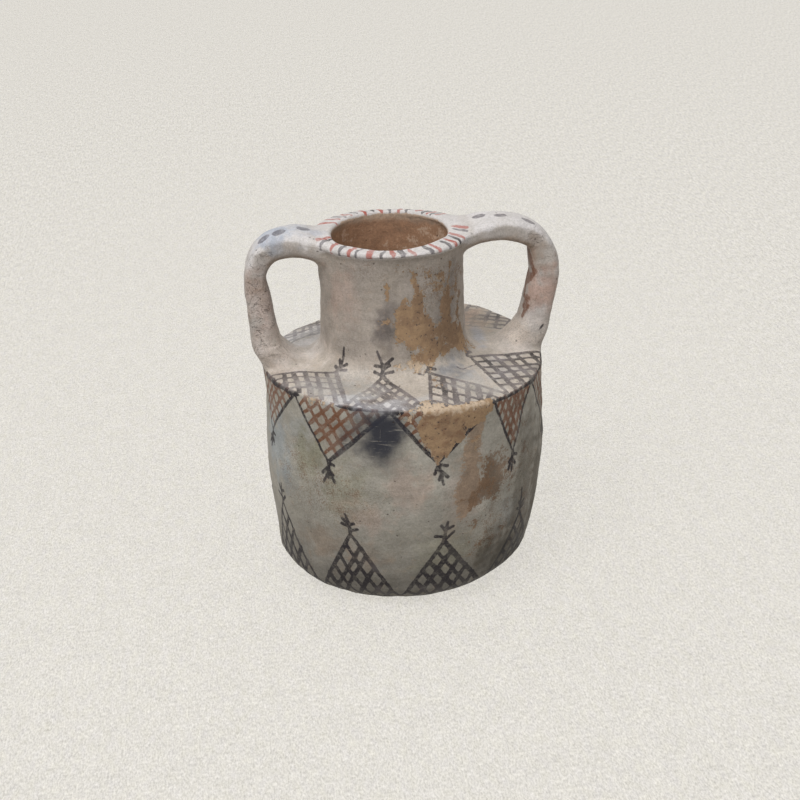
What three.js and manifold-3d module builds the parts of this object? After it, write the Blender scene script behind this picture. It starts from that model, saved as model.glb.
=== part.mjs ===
// Hand-built clay jar with two strap handles, low-fired earthenware about 25 cm high.
// Millimetres, +Z up. The origin is the middle of the flat foot, the handles stand along X,
// and the front is -Y. The jar is made of the pieces that a potter forms and lutes together:
// a floor slab, a coil-built wall, a slab shoulder, a neck, a lip roll and two pulled straps.
import * as THREE from 'three';
import { mergeVertices } from 'three/addons/utils/BufferGeometryUtils.js';
import Module from 'manifold-3d';

const wasm = await Module();
wasm.setup();

// Driving dimensions of the body
const footRadius = 54;
const heelRadius = 88.3;
const heelHeight = 16.5;
const heelFullness = 0.9;
const bellyRadius = 96.2;
const bellyHeight = 95;
const lowerFlatness = 1.1;
const upperHollow = 0.7;
const shoulderRadius = 95;
const shoulderHeight = 152.6;
const wallThickness = 9;
const floorThickness = 12;
const rootFillet = 9;
const seamShare = 0.75;

// Driving dimensions of the shoulder, neck and lip
const shoulderThickness = 9;
const shoulderRise = 4.6;
const shoulderCrown = 0.7;
const neckFootRadius = 62;
const neckRadius = 48.7;
const neckWaist = 0.8;
const neckFillet = 14;
const neckWall = 8.6;
const boreFillet = 16;
const lipHeight = 241.7;
const lipThickness = 10;
const lipOverhang = 2.9;
const lipSlope = 1.3;
const lipRound = 3;
const lipCurl = 5;

// How far the clay settled out of true: the leaning centre line, and the dipping shoulder edge
const leanHeight = 55;
const footShift = new THREE.Vector2(-1.8, 2.4);
const bellyShift = new THREE.Vector2(1.7, 0.5);
const shoulderShift = new THREE.Vector2(2.2, 0);
const neckShift = new THREE.Vector2(-4.5, 0);
const lipShift = new THREE.Vector2(-3.9, 0);
const shoulderDip = 2.6;
const dipDirection = THREE.MathUtils.degToRad(48);

// Driving dimensions of the strap handles, one set for each side
const rightHandle = {
  side: 1,
  rootRise: 1.8,
  topRise: 4.1,
  overhang: 12,
  footOverhang: 5.3,
  bend: 42,
  barThickness: 14,
  barWidth: 28,
  legThickness: 18.8,
  legWidth: 26,
  footSpread: 11,
  footFlare: 24,
  footWidth: 40,
  rootSpread: 3,
  rootWidth: 38,
};
const leftHandle = {
  side: -1,
  rootRise: 2.3,
  topRise: 4.8,
  overhang: 9.2,
  footOverhang: 6.2,
  bend: 35,
  barThickness: 16,
  barWidth: 28,
  legThickness: 17,
  legWidth: 26,
  footSpread: 13,
  footFlare: 30,
  footWidth: 40,
  rootSpread: 5,
  rootWidth: 38,
};
const rootFlare = 10;
const rootSplay = 22;
const thickeningRun = 58;
const rampRun = 20;
const rampRise = 12;
const footCurl = 14;
const footTuck = 3;
const strapSquareness = 2.6;

// Clearance between a strap handle and the jar that it is luted to
const lutingGap = 0.3;

// Fineness of the facets, and how near two points are one
const turns = 60;
const heelSteps = 8;
const arcSteps = 6;
const shortArcSteps = 4;
const strapSteps = 30;
const strapSides = 18;
const samePlace = 1e-4;
const sharpestMitre = 0.5;

// Points along a rounded stretch from one point to another, drawn towards a corner point
function roundedStretch(from, corner, to, steps = arcSteps) {
  const curve = new THREE.QuadraticBezierCurve(
    new THREE.Vector2(...from), new THREE.Vector2(...corner), new THREE.Vector2(...to));
  return curve.getPoints(steps);
}

// A line of points moved sideways by a distance, to the left of its direction, with sharp corners kept
function offsetLine(points, distance) {
  return points.map((point, i) => {
    const before = points[Math.max(i - 1, 0)];
    const after = points[Math.min(i + 1, points.length - 1)];
    const arriving = point.clone().sub(before).normalize();
    const leaving = after.clone().sub(point).normalize();
    if (i === 0) arriving.copy(leaving);
    if (i === points.length - 1) leaving.copy(arriving);
    const along = arriving.clone().add(leaving).normalize();
    const reach = distance / Math.max(along.dot(arriving), sharpestMitre);
    return new THREE.Vector2(point.x - along.y * reach, point.y + along.x * reach);
  });
}

// Consecutive stretches joined into one line, with the shared end points kept once
function joined(...stretches) {
  const line = [];
  for (const point of stretches.flat()) {
    const last = line[line.length - 1];
    if (!last || last.distanceTo(point) > samePlace) line.push(point);
  }
  return line;
}

// The place where a point of the true, round jar comes to lie after the clay has settled
function settle(point) {
  const radius = Math.hypot(point.x, point.y);
  const angle = Math.atan2(point.y, point.x);
  const upToBelly = THREE.MathUtils.smoothstep(point.z, 0, leanHeight);
  const upToShoulder = THREE.MathUtils.smoothstep(point.z, bellyHeight, shoulderHeight);
  const upToLip = THREE.MathUtils.smoothstep(point.z, shoulderHeight, lipHeight);
  const bodyLean = footShift.clone().lerp(bellyShift, upToBelly).lerp(shoulderShift, upToShoulder);
  const neckLean = neckShift.clone().lerp(lipShift, upToLip);
  const outward = THREE.MathUtils.smoothstep(radius, neckFootRadius, shoulderRadius - wallThickness);
  const lean = point.z < bellyHeight ? bodyLean : neckLean.lerp(bodyLean, outward);
  point.x += lean.x;
  point.y += lean.y;
  point.z += shoulderDip * outward * upToShoulder * Math.cos(2 * (angle - dipDirection));
  return point;
}

// Every face of a geometry turned to look the other way
function turnFacesOver(geometry) {
  const index = geometry.getIndex();
  for (let i = 0; i < index.count; i += 3) {
    const second = index.getX(i + 1);
    index.setX(i + 1, index.getX(i + 2));
    index.setX(i + 2, second);
  }
}

// A closed surface whose shared vertices are merged, with only positions kept
function mergedGeometry(geometry) {
  geometry.deleteAttribute('normal');
  geometry.deleteAttribute('uv');
  return mergeVertices(geometry, samePlace);
}

// A profile of (radius, height) points turned round the jar's axis and settled as the clay was.
// Neighbours run their profiles opposite ways round, so that they share out their common face
// into the same triangles.
function turnedPiece(profile, backwards = false) {
  const outline = THREE.ShapeUtils.isClockWise(profile) === backwards
    ? profile.slice() : profile.slice().reverse();
  if (Math.min(outline[0].x, outline[outline.length - 1].x) > 0) outline.push(outline[0].clone());
  const geometry = mergedGeometry(new THREE.LatheGeometry(outline, turns));
  if (backwards) turnFacesOver(geometry);
  geometry.rotateX(Math.PI / 2);
  const positions = geometry.getAttribute('position');
  const point = new THREE.Vector3();
  for (let i = 0; i < positions.count; i += 1) {
    settle(point.fromBufferAttribute(positions, i));
    positions.setXYZ(i, point.x, point.y, point.z);
  }
  return geometry;
}

// Outer line of the body from the foot over the heel and the belly to the shoulder edge
const heel = roundedStretch(
  [footRadius, 0], [THREE.MathUtils.lerp(footRadius, heelRadius, heelFullness), 0],
  [heelRadius, heelHeight], heelSteps);
const lowerWall = roundedStretch(
  [heelRadius, heelHeight], [bellyRadius - lowerFlatness, (heelHeight + bellyHeight) / 2],
  [bellyRadius, bellyHeight]);
const upperWall = roundedStretch(
  [bellyRadius, bellyHeight], [shoulderRadius - upperHollow, (bellyHeight + shoulderHeight) / 2],
  [shoulderRadius, shoulderHeight]);
const outerWall = joined(lowerWall, upperWall);

// Inner line of the wall, from the mitred shoulder corner down to the rounded root on the floor
const innerCorner = new THREE.Vector2(shoulderRadius - wallThickness, shoulderHeight - shoulderThickness);
const innerWall = offsetLine(outerWall, wallThickness)
  .filter((point) => point.y > floorThickness + rootFillet && point.y < innerCorner.y - lipRound)
  .reverse();
const rootTop = innerWall[innerWall.length - 1];
const floorEdge = new THREE.Vector2(rootTop.x - rootFillet, floorThickness);
const rootCurve = roundedStretch(
  rootTop.toArray(), [rootTop.x, floorThickness], floorEdge.toArray(), shortArcSteps);

// The floor slab ends part of the way up the heel, where the first coil of the wall is laid on it
const seamStep = Math.round(heelSteps * seamShare);
const floorProfile = joined(
  [new THREE.Vector2(0, 0)], heel.slice(0, seamStep + 1),
  [floorEdge, new THREE.Vector2(0, floorThickness)]);
const wallProfile = joined(heel.slice(seamStep), outerWall, [innerCorner], innerWall, rootCurve);

// The slab shoulder, from the mitred edge to the butt joint with the neck
const shoulderTop = shoulderHeight + shoulderRise;
const shoulderUnder = shoulderTop - shoulderThickness;
const crownHeight = (shoulderHeight + shoulderTop) / 2 + shoulderCrown;
const shoulderLine = roundedStretch(
  [shoulderRadius, shoulderHeight], [(shoulderRadius + neckFootRadius) / 2, crownHeight],
  [neckFootRadius, shoulderTop], shortArcSteps);
const shoulderUnderside = roundedStretch(
  [neckFootRadius, shoulderUnder],
  [(innerCorner.x + neckFootRadius) / 2, crownHeight - shoulderThickness],
  innerCorner.toArray(), shortArcSteps);
const shoulderProfile = joined(shoulderLine, shoulderUnderside);

// The neck, flared into the shoulder at its foot and a little waisted
const neckTop = lipHeight - lipThickness;
const neckFilletTop = shoulderTop + neckFillet;
const boreRadius = neckRadius - neckWall;
const neckFoot = roundedStretch(
  [neckFootRadius, shoulderTop], [neckRadius, shoulderTop], [neckRadius, neckFilletTop]);
const neckSide = roundedStretch(
  [neckRadius, neckFilletTop], [neckRadius - 2 * neckWaist, (neckFilletTop + neckTop) / 2],
  [neckRadius, neckTop], shortArcSteps);
const boreFoot = roundedStretch(
  [boreRadius, shoulderUnder + boreFillet], [boreRadius, shoulderUnder],
  [neckFootRadius, shoulderUnder]);
const neckProfile = joined(
  neckFoot, neckSide, [new THREE.Vector2(boreRadius, neckTop)], boreFoot);

// The lip roll, sloping outwards and standing a little proud of the neck
const lipRadius = neckRadius + lipOverhang;
const lipEdge = lipHeight - lipSlope;
const lipOutside = joined(
  roundedStretch(
    [neckRadius, neckTop], [lipRadius, neckTop], [lipRadius, neckTop + lipCurl], shortArcSteps),
  roundedStretch(
    [lipRadius, neckTop + lipCurl], [lipRadius, lipEdge], [lipRadius - lipRound, lipEdge], shortArcSteps));
const lipInside = roundedStretch(
  [boreRadius + lipRound, lipHeight], [boreRadius, lipHeight],
  [boreRadius, lipHeight - lipRound], shortArcSteps);
const lipProfile = joined(lipOutside, lipInside, [new THREE.Vector2(boreRadius, neckTop)]);

// The whole jar without its hollow, grown by the luting gap, which trims the handles' ends.
// Above the lip it opens like a funnel, so that a strap's top ramps up from the lip's edge.
const grownLine = offsetLine(joined(upperWall, shoulderLine, neckFoot, neckSide, lipOutside), -lutingGap);
const rampFoot = grownLine[grownLine.length - 1];
const rampTop = rampFoot.clone().add(new THREE.Vector2(rampRun, rampRise));
const trimProfile = joined(
  [new THREE.Vector2(0, bellyHeight)], grownLine, [rampTop, new THREE.Vector2(0, rampTop.y)]);

// One strap: rounded flat sections carried along its outer line, from inside the neck to below
// the shoulder edge, spreading where the potter smoothed it onto the jar
function strapGeometry(strap) {
  const rootX = neckRadius / 2;
  const topHeight = lipHeight + strap.topRise;
  const bendEnd = topHeight - strap.bend;
  const shoulderEdge = shoulderRadius + strap.side * shoulderShift.x;
  const reach = shoulderEdge + strap.overhang;
  const line = new THREE.Path();
  line.moveTo(rootX, lipHeight + strap.rootRise);
  line.lineTo(reach - strap.bend, topHeight);
  line.quadraticCurveTo(reach, topHeight, reach, bendEnd);
  line.lineTo(shoulderEdge + strap.footOverhang, shoulderHeight + footCurl);
  line.quadraticCurveTo(
    shoulderEdge, shoulderHeight, shoulderEdge - footTuck, shoulderHeight - footCurl);
  const length = line.getLength();
  const positions = [];
  for (let i = 0; i <= strapSteps; i += 1) {
    const share = i / strapSteps;
    const spot = line.getPointAt(share);
    const along = line.getTangentAt(share);
    const fromNeck = share * length - (neckRadius + strap.side * neckShift.x - rootX);
    const atRoot = flare(fromNeck / rootFlare);
    const atLip = flare(fromNeck / rootSplay);
    const atFoot = spot.y < bendEnd ? flare((spot.y - shoulderHeight) / strap.footFlare) : 0;
    const down = spot.y < bendEnd ? 1
      : THREE.MathUtils.smoothstep(spot.x, reach - thickeningRun, reach);
    const thickness = THREE.MathUtils.lerp(strap.barThickness, strap.legThickness, down)
      + strap.rootSpread * atRoot + strap.footSpread * atFoot;
    const width = THREE.MathUtils.lerp(strap.barWidth, strap.legWidth, down)
      + (strap.rootWidth - strap.barWidth) * atLip + (strap.footWidth - strap.legWidth) * atFoot;
    for (let j = 0; j < strapSides; j += 1) {
      const turn = (2 * Math.PI * j) / strapSides;
      const across = roundedSquare(Math.cos(turn)) * width / 2;
      const inward = (1 - roundedSquare(Math.sin(turn))) * thickness / 2;
      positions.push(
        strap.side * (spot.x + along.y * inward), -strap.side * across, spot.y - along.x * inward);
    }
  }
  return closedLoft(positions, strapSides);
}

// Share of a spread that is left at a distance from where it starts, falling off as a fillet does
function flare(distance) {
  const left = 1 - THREE.MathUtils.clamp(distance, 0, 1);
  return left * left;
}

// A cosine or sine drawn outwards, so that the circle it comes from becomes a rounded square
function roundedSquare(value) {
  return Math.sign(value) * Math.abs(value) ** (2 / strapSquareness);
}

// Rings of points joined into one closed skin, with both ends closed over their middle point
function closedLoft(positions, sides) {
  const rings = positions.length / 3 / sides;
  const index = [];
  for (let i = 0; i < rings - 1; i += 1) {
    for (let j = 0; j < sides; j += 1) {
      const here = i * sides + j;
      const beside = i * sides + ((j + 1) % sides);
      index.push(here, here + sides, beside, beside, here + sides, beside + sides);
    }
  }
  for (const [ring, order] of [[0, 1], [rings - 1, -1]]) {
    const middle = positions.length / 3;
    const first = ring * sides;
    const centre = new THREE.Vector3();
    for (let j = 0; j < sides; j += 1) {
      centre.add(new THREE.Vector3().fromArray(positions, (first + j) * 3));
    }
    positions.push(...centre.divideScalar(sides).toArray());
    for (let j = 0; j < sides; j += 1) {
      const pair = [first + j, first + ((j + 1) % sides)];
      index.push(middle, ...(order > 0 ? pair : pair.reverse()));
    }
  }
  const geometry = new THREE.BufferGeometry();
  geometry.setAttribute('position', new THREE.Float32BufferAttribute(positions, 3));
  geometry.setIndex(index);
  return geometry;
}

// Conversions between a three.js geometry and a solid that can be cut
function toSolid(geometry) {
  return new wasm.Manifold(new wasm.Mesh({
    numProp: 3,
    vertProperties: new Float32Array(geometry.getAttribute('position').array),
    triVerts: new Uint32Array(geometry.getIndex().array),
  }));
}

function toGeometry(solid) {
  const mesh = solid.getMesh();
  const geometry = new THREE.BufferGeometry();
  geometry.setAttribute('position', new THREE.BufferAttribute(new Float32Array(mesh.vertProperties), 3));
  geometry.setIndex(new THREE.BufferAttribute(new Uint32Array(mesh.triVerts), 1));
  return geometry;
}

const trimmer = toSolid(turnedPiece(trimProfile));

function handlePiece(strap) {
  return toGeometry(toSolid(strapGeometry(strap)).subtract(trimmer));
}

// Fired, slipped and weathered clay, a little different on each piece
function clay(color, roughness) {
  return new THREE.MeshStandardMaterial({ color, roughness, metalness: 0 });
}

const jar = new THREE.Group();

function addPiece(name, geometry, material) {
  geometry.computeVertexNormals();
  const piece = new THREE.Mesh(geometry, material);
  piece.name = name;
  jar.add(piece);
}

addPiece('floor_slab', turnedPiece(floorProfile), clay(0x7a7268, 0.9));
addPiece('body_wall', turnedPiece(wallProfile, true), clay(0xa39d90, 0.75));
addPiece('shoulder_ring', turnedPiece(shoulderProfile), clay(0xc2b6a8, 0.7));
addPiece('neck', turnedPiece(neckProfile, true), clay(0xc6b7a8, 0.7));
addPiece('lip_ring', turnedPiece(lipProfile), clay(0xdcd2ca, 0.65));
addPiece('handle_left', handlePiece(leftHandle), clay(0xc9bcb2, 0.7));
addPiece('handle_right', handlePiece(rightHandle), clay(0xcdbfb4, 0.7));

export default jar;
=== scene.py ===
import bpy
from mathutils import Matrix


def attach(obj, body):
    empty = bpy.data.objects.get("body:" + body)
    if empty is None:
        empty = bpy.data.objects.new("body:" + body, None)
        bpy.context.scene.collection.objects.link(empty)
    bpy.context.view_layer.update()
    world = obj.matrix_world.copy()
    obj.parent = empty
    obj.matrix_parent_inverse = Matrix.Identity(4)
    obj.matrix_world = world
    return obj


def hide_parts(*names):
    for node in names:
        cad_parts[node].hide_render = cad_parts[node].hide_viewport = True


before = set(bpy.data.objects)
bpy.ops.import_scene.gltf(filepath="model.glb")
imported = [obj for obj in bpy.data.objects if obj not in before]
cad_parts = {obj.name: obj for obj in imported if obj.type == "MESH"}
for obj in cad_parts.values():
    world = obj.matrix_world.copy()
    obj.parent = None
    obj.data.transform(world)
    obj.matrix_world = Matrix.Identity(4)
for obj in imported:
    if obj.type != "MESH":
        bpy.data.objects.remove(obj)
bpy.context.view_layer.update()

from types import SimpleNamespace

import bpy
import numpy as np
from bpy.props import FloatProperty, FloatVectorProperty, IntProperty, PointerProperty
from bpy.types import Operator, Panel, PropertyGroup
from mathutils import Matrix

bl_info = {
    "name": "Two-handled clay jar",
    "version": (1, 0, 0),
    "blender": (4, 5, 0),
    "location": "3D View > Sidebar > Clay jar",
    "description": "Builds a hand-made, slipped and painted jar with two strap handles",
    "category": "Add Mesh",
}

LEFT, RIGHT = 0, 1
MM_IN_METRE = 1000


# Sizes and colours that a user would change

def length(name, description, millimetres):
    """A size in metres whose default is given in millimetres."""
    return FloatProperty(name=name, description=description, default=millimetres / MM_IN_METRE,
                         unit="LENGTH", precision=4)


def lengths(name, description, *millimetres):
    """Two or three sizes in metres, such as one for each handle."""
    return FloatVectorProperty(name=name, description=description, size=len(millimetres),
                               default=[value / MM_IN_METRE for value in millimetres],
                               unit="LENGTH", precision=4)


def shift(part, *millimetres):
    """How far a part lies off the middle, along X and Y."""
    return lengths(f"{part} shift", f"How far the {part.lower()} lies off the middle", *millimetres)


def share(name, description, value):
    """A plain number from 0 to 1."""
    return FloatProperty(name=name, description=description, default=value, min=0, max=1)


def plain_number(name, description, value):
    """A number without a unit, or with the unit that its description gives."""
    return FloatProperty(name=name, description=description, default=value)


def whole_number(name, description, value):
    """A count."""
    return IntProperty(name=name, description=description, default=value)


def angle_in_degrees(name, description, degrees):
    """An angle whose default is given in degrees."""
    return FloatProperty(name=name, description=description, default=np.radians(degrees),
                         subtype="ANGLE")


def colour(name, description, *rgb):
    """A colour whose default is given in sRGB steps from 0 to 255."""
    return FloatVectorProperty(name=name, description=description, size=3, subtype="COLOR",
                               min=0, max=1, default=[linear(step / 255) for step in rgb])


def linear(value):
    """The linear light of an sRGB value from 0 to 1."""
    return value / 12.92 if value <= 0.04045 else ((value + 0.055) / 1.055) ** 2.4


class JarSizes(PropertyGroup):
    """Sizes of the jar's body, neck and lip."""
    foot_radius: length("Foot radius", "Radius of the flat that the jar stands on", 54)
    heel_radius: length("Heel radius", "Radius where the heel ends", 88.3)
    heel_height: length("Heel height", "Height where the heel ends", 16.5)
    heel_fullness: share("Heel fullness", "How square the heel is", 0.74)
    belly_radius: length("Belly radius", "Radius of the wall at its widest", 96.2)
    belly_height: length("Belly height", "Height of the widest place", 95)
    lower_flatness: length("Lower flatness", "How far the lower wall is held in", 1.1)
    upper_hollow: length("Upper hollow", "How far the upper wall is held in", 0.7)
    shoulder_radius: length("Shoulder radius", "Radius of the sharp shoulder edge", 95)
    shoulder_height: length("Shoulder height", "Height of the sharp shoulder edge", 152.6)
    wall_thickness: length("Wall thickness", "Thickness of the coil-built wall", 9)
    floor_thickness: length("Floor thickness", "Thickness of the floor slab", 12)
    root_fillet: length("Root fillet", "Rounding between the floor and the wall inside", 9)
    edge_round: length("Edge rounding", "How far the shoulder edge is worn round", 2.2)
    shoulder_thickness: length("Shoulder thickness", "Thickness of the shoulder slab", 9)
    shoulder_rise: length("Shoulder rise", "Rise from the edge to the neck's foot", 4.6)
    shoulder_crown: length("Shoulder crown", "How far the shoulder is domed", 0.7)
    neck_foot_radius: length("Neck foot radius", "Radius where the neck's flare starts", 62)
    neck_radius: length("Neck radius", "Outer radius of the neck", 48.7)
    neck_waist: length("Neck waist", "How far the neck is drawn in", 0.8)
    neck_fillet: length("Neck fillet", "Height of the flare at the neck's foot", 14)
    neck_wall: length("Neck wall", "Thickness of the neck", 8.6)
    bore_fillet: length("Bore fillet", "Rounding from the bore to under the shoulder", 16)
    lip_height: length("Lip height", "Height of the lip's inner edge", 241.7)
    lip_thickness: length("Lip thickness", "Height of the lip roll", 10)
    lip_overhang: length("Lip overhang", "How far the lip stands proud of the neck", 2.9)
    lip_slope: length("Lip slope", "Fall of the lip's top towards the outside", 1.3)
    lip_round: length("Lip rounding", "Rounding of the lip's edges", 3)
    lip_curl: length("Lip curl", "Height at which the neck starts to flare into the lip", 5)
    lip_drop: length("Lip drop", "Height of the lip's outer edge under its top", 2.6)
    lip_inward: length("Lip inward", "How far the lip stands in over the bore", 2.4)
    mouth_depth: length("Mouth depth", "How far the mouth reaches out at the back", 2.4)
    mouth_front: length("Mouth front", "How far it reaches out at its fullest place", 3.6)
    mouth_drop: length("Mouth drop", "How far the lip's inner edge falls there", 1.2)
    lip_lift: length("Lip lift", "How far the lip's outer edge rises there", 1.6)
    mouth_direction: angle_in_degrees("Mouth direction", "Where the mouth is fullest", -135)
    lip_bead: length("Lip bead", "How full the lip's outer edge is", 0.5)
    lean_height: length("Lean height", "Height up to which the foot's lean is felt", 55)
    foot_shift: shift("Foot", -1.8, 2.4)
    belly_shift: shift("Belly", 1.7, 0.5)
    shoulder_shift: shift("Shoulder", 2.2, 0)
    neck_shift: shift("Neck foot", -4.5, 0)
    lip_shift: shift("Lip", -3.9, 0)
    shoulder_dip: length("Shoulder dip", "How far the shoulder edge dips and rises", 2.6)
    dip_direction: angle_in_degrees("Dip direction", "Where the edge is highest", 48)
    grid: length("Grid", "Spacing of the points on the outside", 1.05)
    inside_grid: length("Inside grid", "Spacing of the points on the inside", 4.6)
    columns: whole_number("Columns", "Points once round the jar", 560)


class StrapSizes(PropertyGroup):
    """Sizes of the two strap handles, the left one first."""
    root_rise: lengths("Root rise", "Height of the top over the lip at the neck", 3.4, 3)
    top_rise: lengths("Top rise", "Height of the top over the lip at the bend", 4.8, 4.1)
    overhang: lengths("Overhang", "Reach beyond the shoulder edge", 9.2, 12)
    foot_overhang: lengths("Foot overhang", "Reach beyond the edge at the foot", 6.2, 5.3)
    bend: lengths("Bend", "Radius of the turn from the bar to the leg", 35, 42)
    bar_thickness: lengths("Bar thickness", "Thickness of the upper bar", 16, 14)
    bar_width: lengths("Bar width", "Width of the upper bar", 28, 28)
    leg_thickness: lengths("Leg thickness", "Thickness of the leg", 17, 18.8)
    leg_width: lengths("Leg width", "Width of the leg", 26, 26)
    foot_spread: lengths("Foot spread", "Thickening at the foot", 6, 4)
    foot_flare: lengths("Foot flare", "Height over which the foot spreads", 44, 34)
    foot_width: lengths("Foot width", "Width at the foot", 33, 29)
    root_spread: lengths("Root spread", "Thickening at the lip", 4, 1.5)
    root_width: lengths("Root width", "Width at the lip", 46, 44)
    root_flare: length("Root flare", "Length over which the root thickens", 10)
    root_splay: length("Root splay", "Length over which the root widens", 34)
    pinch: lengths("Pinch", "How much thinner the strap is in its bend", 2, 3)
    pinch_drop: lengths("Pinch drop", "How far under the top the strap is pinched", 28, 11)
    pinch_reach: length("Pinch reach", "Length of the pinched place", 13)
    thickening_run: length("Thickening run", "Length from the bar to the full leg", 58)
    foot_curl: length("Foot curl", "Height over which the foot curls onto the wall", 14)
    foot_tuck: length("Foot tuck", "How far the foot curls in", 3)
    root_clear: length("Root clearance", "Gap to the neck where the root starts to land", 13)
    root_under: lengths("Root under", "How far the root reaches down the neck", 14, 9.5)
    root_over: length("Root over", "How far the root reaches over the lip", 20.5)
    root_half: length("Root half width", "Half the width of the root on the lip", 26)
    foot_clear: length("Foot clearance", "Height at which the foot starts to land", 20)
    foot_below: length("Foot below", "How far the foot reaches below the shoulder edge", 5)
    foot_inside: lengths("Foot inside", "How far the foot reaches towards the neck", 40, 31)
    foot_half: lengths("Foot half width", "Half the width of the foot on the shoulder", 22, 17)
    landing_rows: whole_number("Landing rows", "Rings from a strap to the jar", 30)
    squareness: plain_number("Squareness", "Section: 2 is round, more is square", 3.6)
    landing_squareness: plain_number("Landing squareness",
                                     "Ovals on the jar: 2 is round, more is square", 2.3)
    grid: length("Grid", "Spacing of the rings along a strap", 0.9)
    sides: whole_number("Sides", "Points once round a strap", 112)


class JarColours(PropertyGroup):
    """Colours of the clay, the slip and the paint. The dirt also stands for painted shade, and two whites
    partly for painted light.
    """
    wall_slip: colour("Wall slip", "Pale slip on the wall", 174, 168, 156)
    shoulder_slip: colour("Shoulder slip", "Pale slip on the shoulder", 197, 186, 173)
    neck_slip: colour("Neck slip", "Warm slip on the neck", 173, 162, 151)
    lip_slip: colour("Lip slip", "White slip on the lip and the handles' tops", 218, 212, 208)
    inside_clay: colour("Inside clay", "Bare clay inside", 169, 132, 104)
    inside_pale: colour("Inside film", "Pale film inside the mouth", 196, 176, 156)
    bare_clay: colour("Bare clay", "Orange clay where the slip is gone", 174, 144, 112)
    dark_clay: colour("Dark clay", "Darker clay where the slip is gone", 152, 124, 98)
    pale_clay: colour("Pale clay", "Clay with a film of slip left on it", 214, 192, 166)
    black_paint: colour("Black paint", "Dark paint of the triangles", 43, 38, 42)
    thin_paint: colour("Thin paint", "The dark paint where it is thin or faded", 84, 75, 86)
    rust_paint: colour("Rust paint", "Red-brown paint of the hatching", 118, 72, 44)
    red_paint: colour("Red paint", "Red paint of the lip's stripes", 178, 92, 78)
    soot_colour: colour("Soot", "Soot clouds from the fire", 45, 47, 58)
    # Dirt low on the wall, partly standing for painted shade towards the bottom
    dirt_and_painted_shade: colour("Dirt", "Grime low on the wall", 121, 116, 108)
    tan_stain: colour("Tan stain", "Slip worn thin over the clay", 155, 131, 109)
    brown_stain: colour("Brown stain", "Brown stains and specks", 112, 83, 57)
    grey_film: colour("Grey film", "Blue-grey film", 166, 170, 170)
    olive_film: colour("Olive film", "Olive film", 152, 148, 126)
    rust_stain: colour("Rust stain", "Brown tint", 150, 124, 102)
    pink_stain: colour("Pink stain", "Pinkish tint", 192, 158, 142)
    smoke: colour("Smoke", "Grey smoke marks", 109, 101, 97)
    # The white film is partly a painted highlight on the shoulder's worn front edge
    white_film: colour("White film", "Bluish white film", 208, 207, 208)
    # Cool white: painted bluish sky light on the handles' tops
    cool_white: colour("Cool white", "Bluish white on the handles' tops", 180, 186, 198)
    veil: colour("Veil", "Thin grey veil over the shoulder's paint", 190, 186, 180)
    grey_slip: colour("Grey slip", "Thick grey slip on the shoulder", 148, 147, 148)


class StageSettings(PropertyGroup):
    """The camera, the floor and the lamps."""
    elevation: angle_in_degrees("Elevation", "Camera's height angle", 24.88)
    azimuth: angle_in_degrees("Azimuth", "Camera's turn round the jar", -7.2)
    roll: angle_in_degrees("Roll", "Camera's tilt", -1.74)
    distance: length("Distance", "From the aim to the camera", 1000)
    aim: lengths("Aim", "Point that the camera looks at, before the turn", -0.36, 0, 117.2)
    lens: plain_number("Lens", "Focal length on a 36 mm picture, in mm", 64.82)
    floor_colour: colour("Floor colour", "Pale floor and backdrop", 228, 224, 216)
    floor_bounce: colour("Floor bounce", "What the floor throws back on the jar", 150, 146, 140)
    backdrop_share: share("Backdrop share", "Share of the floor that is not lit", 0.82)
    grain_squash: share("Grain squash", "How far the floor's grain is drawn out in depth", 0.42)
    sky_level: plain_number("Sky level", "Sky at the horizon", 0.42)
    sky_overhead: plain_number("Sky overhead", "Added overhead", 0.42)
    sky_shaded: share("Sky shaded", "How much darker the sky is on the right", 0.45)
    key_power: plain_number("Key power", "Lamp above the front left, in W", 16)
    fill_power: plain_number("Fill power", "Lamp on the right, in W", 2)


def in_millimetres(group):
    """A group's values as plain numbers and arrays, its lengths in millimetres."""
    values = {}
    for item in group.bl_rna.properties:
        if item.identifier in ("rna_type", "name"):
            continue
        value = getattr(group, item.identifier)
        if getattr(item, "is_array", False):
            value = np.array(value[:])
        factor = MM_IN_METRE if getattr(item, "unit", "NONE") == "LENGTH" else 1
        values[item.identifier] = value * factor
    return SimpleNamespace(**values)


# Curves and fields that several pieces share

def smoothstep(value, low, high):
    """0 below low, 1 above high, and 3t² - 2t³ between them."""
    t = np.clip((np.asarray(value, float) - low) / (high - low), 0, 1)
    return t * t * (3 - 2 * t)


def falling(value, low, high):
    """The reverse of smoothstep: 1 below low and 0 above high."""
    return 1 - smoothstep(value, low, high)


def angle_round(points, x=0):
    """Angle of each point round an upright line at x."""
    return np.arctan2(points[..., 1], points[..., 0] - x)


def drawn(start, corner, end, count=48):
    """A curve from start to end pulled towards a corner: (1-t)² start + 2t(1-t) corner + t² end."""
    t = np.linspace(0, 1, count + 1)[:, None]
    start, corner, end = (np.asarray(point, float) for point in (start, corner, end))
    return (1 - t) ** 2 * start + 2 * t * (1 - t) * corner + t * t * end


def run_of(points):
    """Length along a line of points, from its start to each point."""
    steps = np.linalg.norm(np.diff(points, axis=0), axis=1)
    return np.concatenate([[0], np.cumsum(steps)])


def spaced(points, spacing):
    """The same line with its points moved to even steps of about the given length."""
    run = run_of(points)
    count = max(2, int(round(run[-1] / spacing)))
    places = np.linspace(0, run[-1], count + 1)
    return np.stack([np.interp(places, run, points[:, i]) for i in range(points.shape[1])], 1)


def joined(*lines):
    """Lines put end to end, the shared end points kept once."""
    kept = [lines[0]] + [line[1:] for line in lines[1:]]
    return np.concatenate(kept)


def offset(points, distance):
    """A line moved to its left: each point plus distance times the unit normal there."""
    along = np.gradient(points, axis=0)
    along /= np.linalg.norm(along, axis=1, keepdims=True)
    return points + distance * np.stack([-along[:, 1], along[:, 0]], 1)


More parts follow.
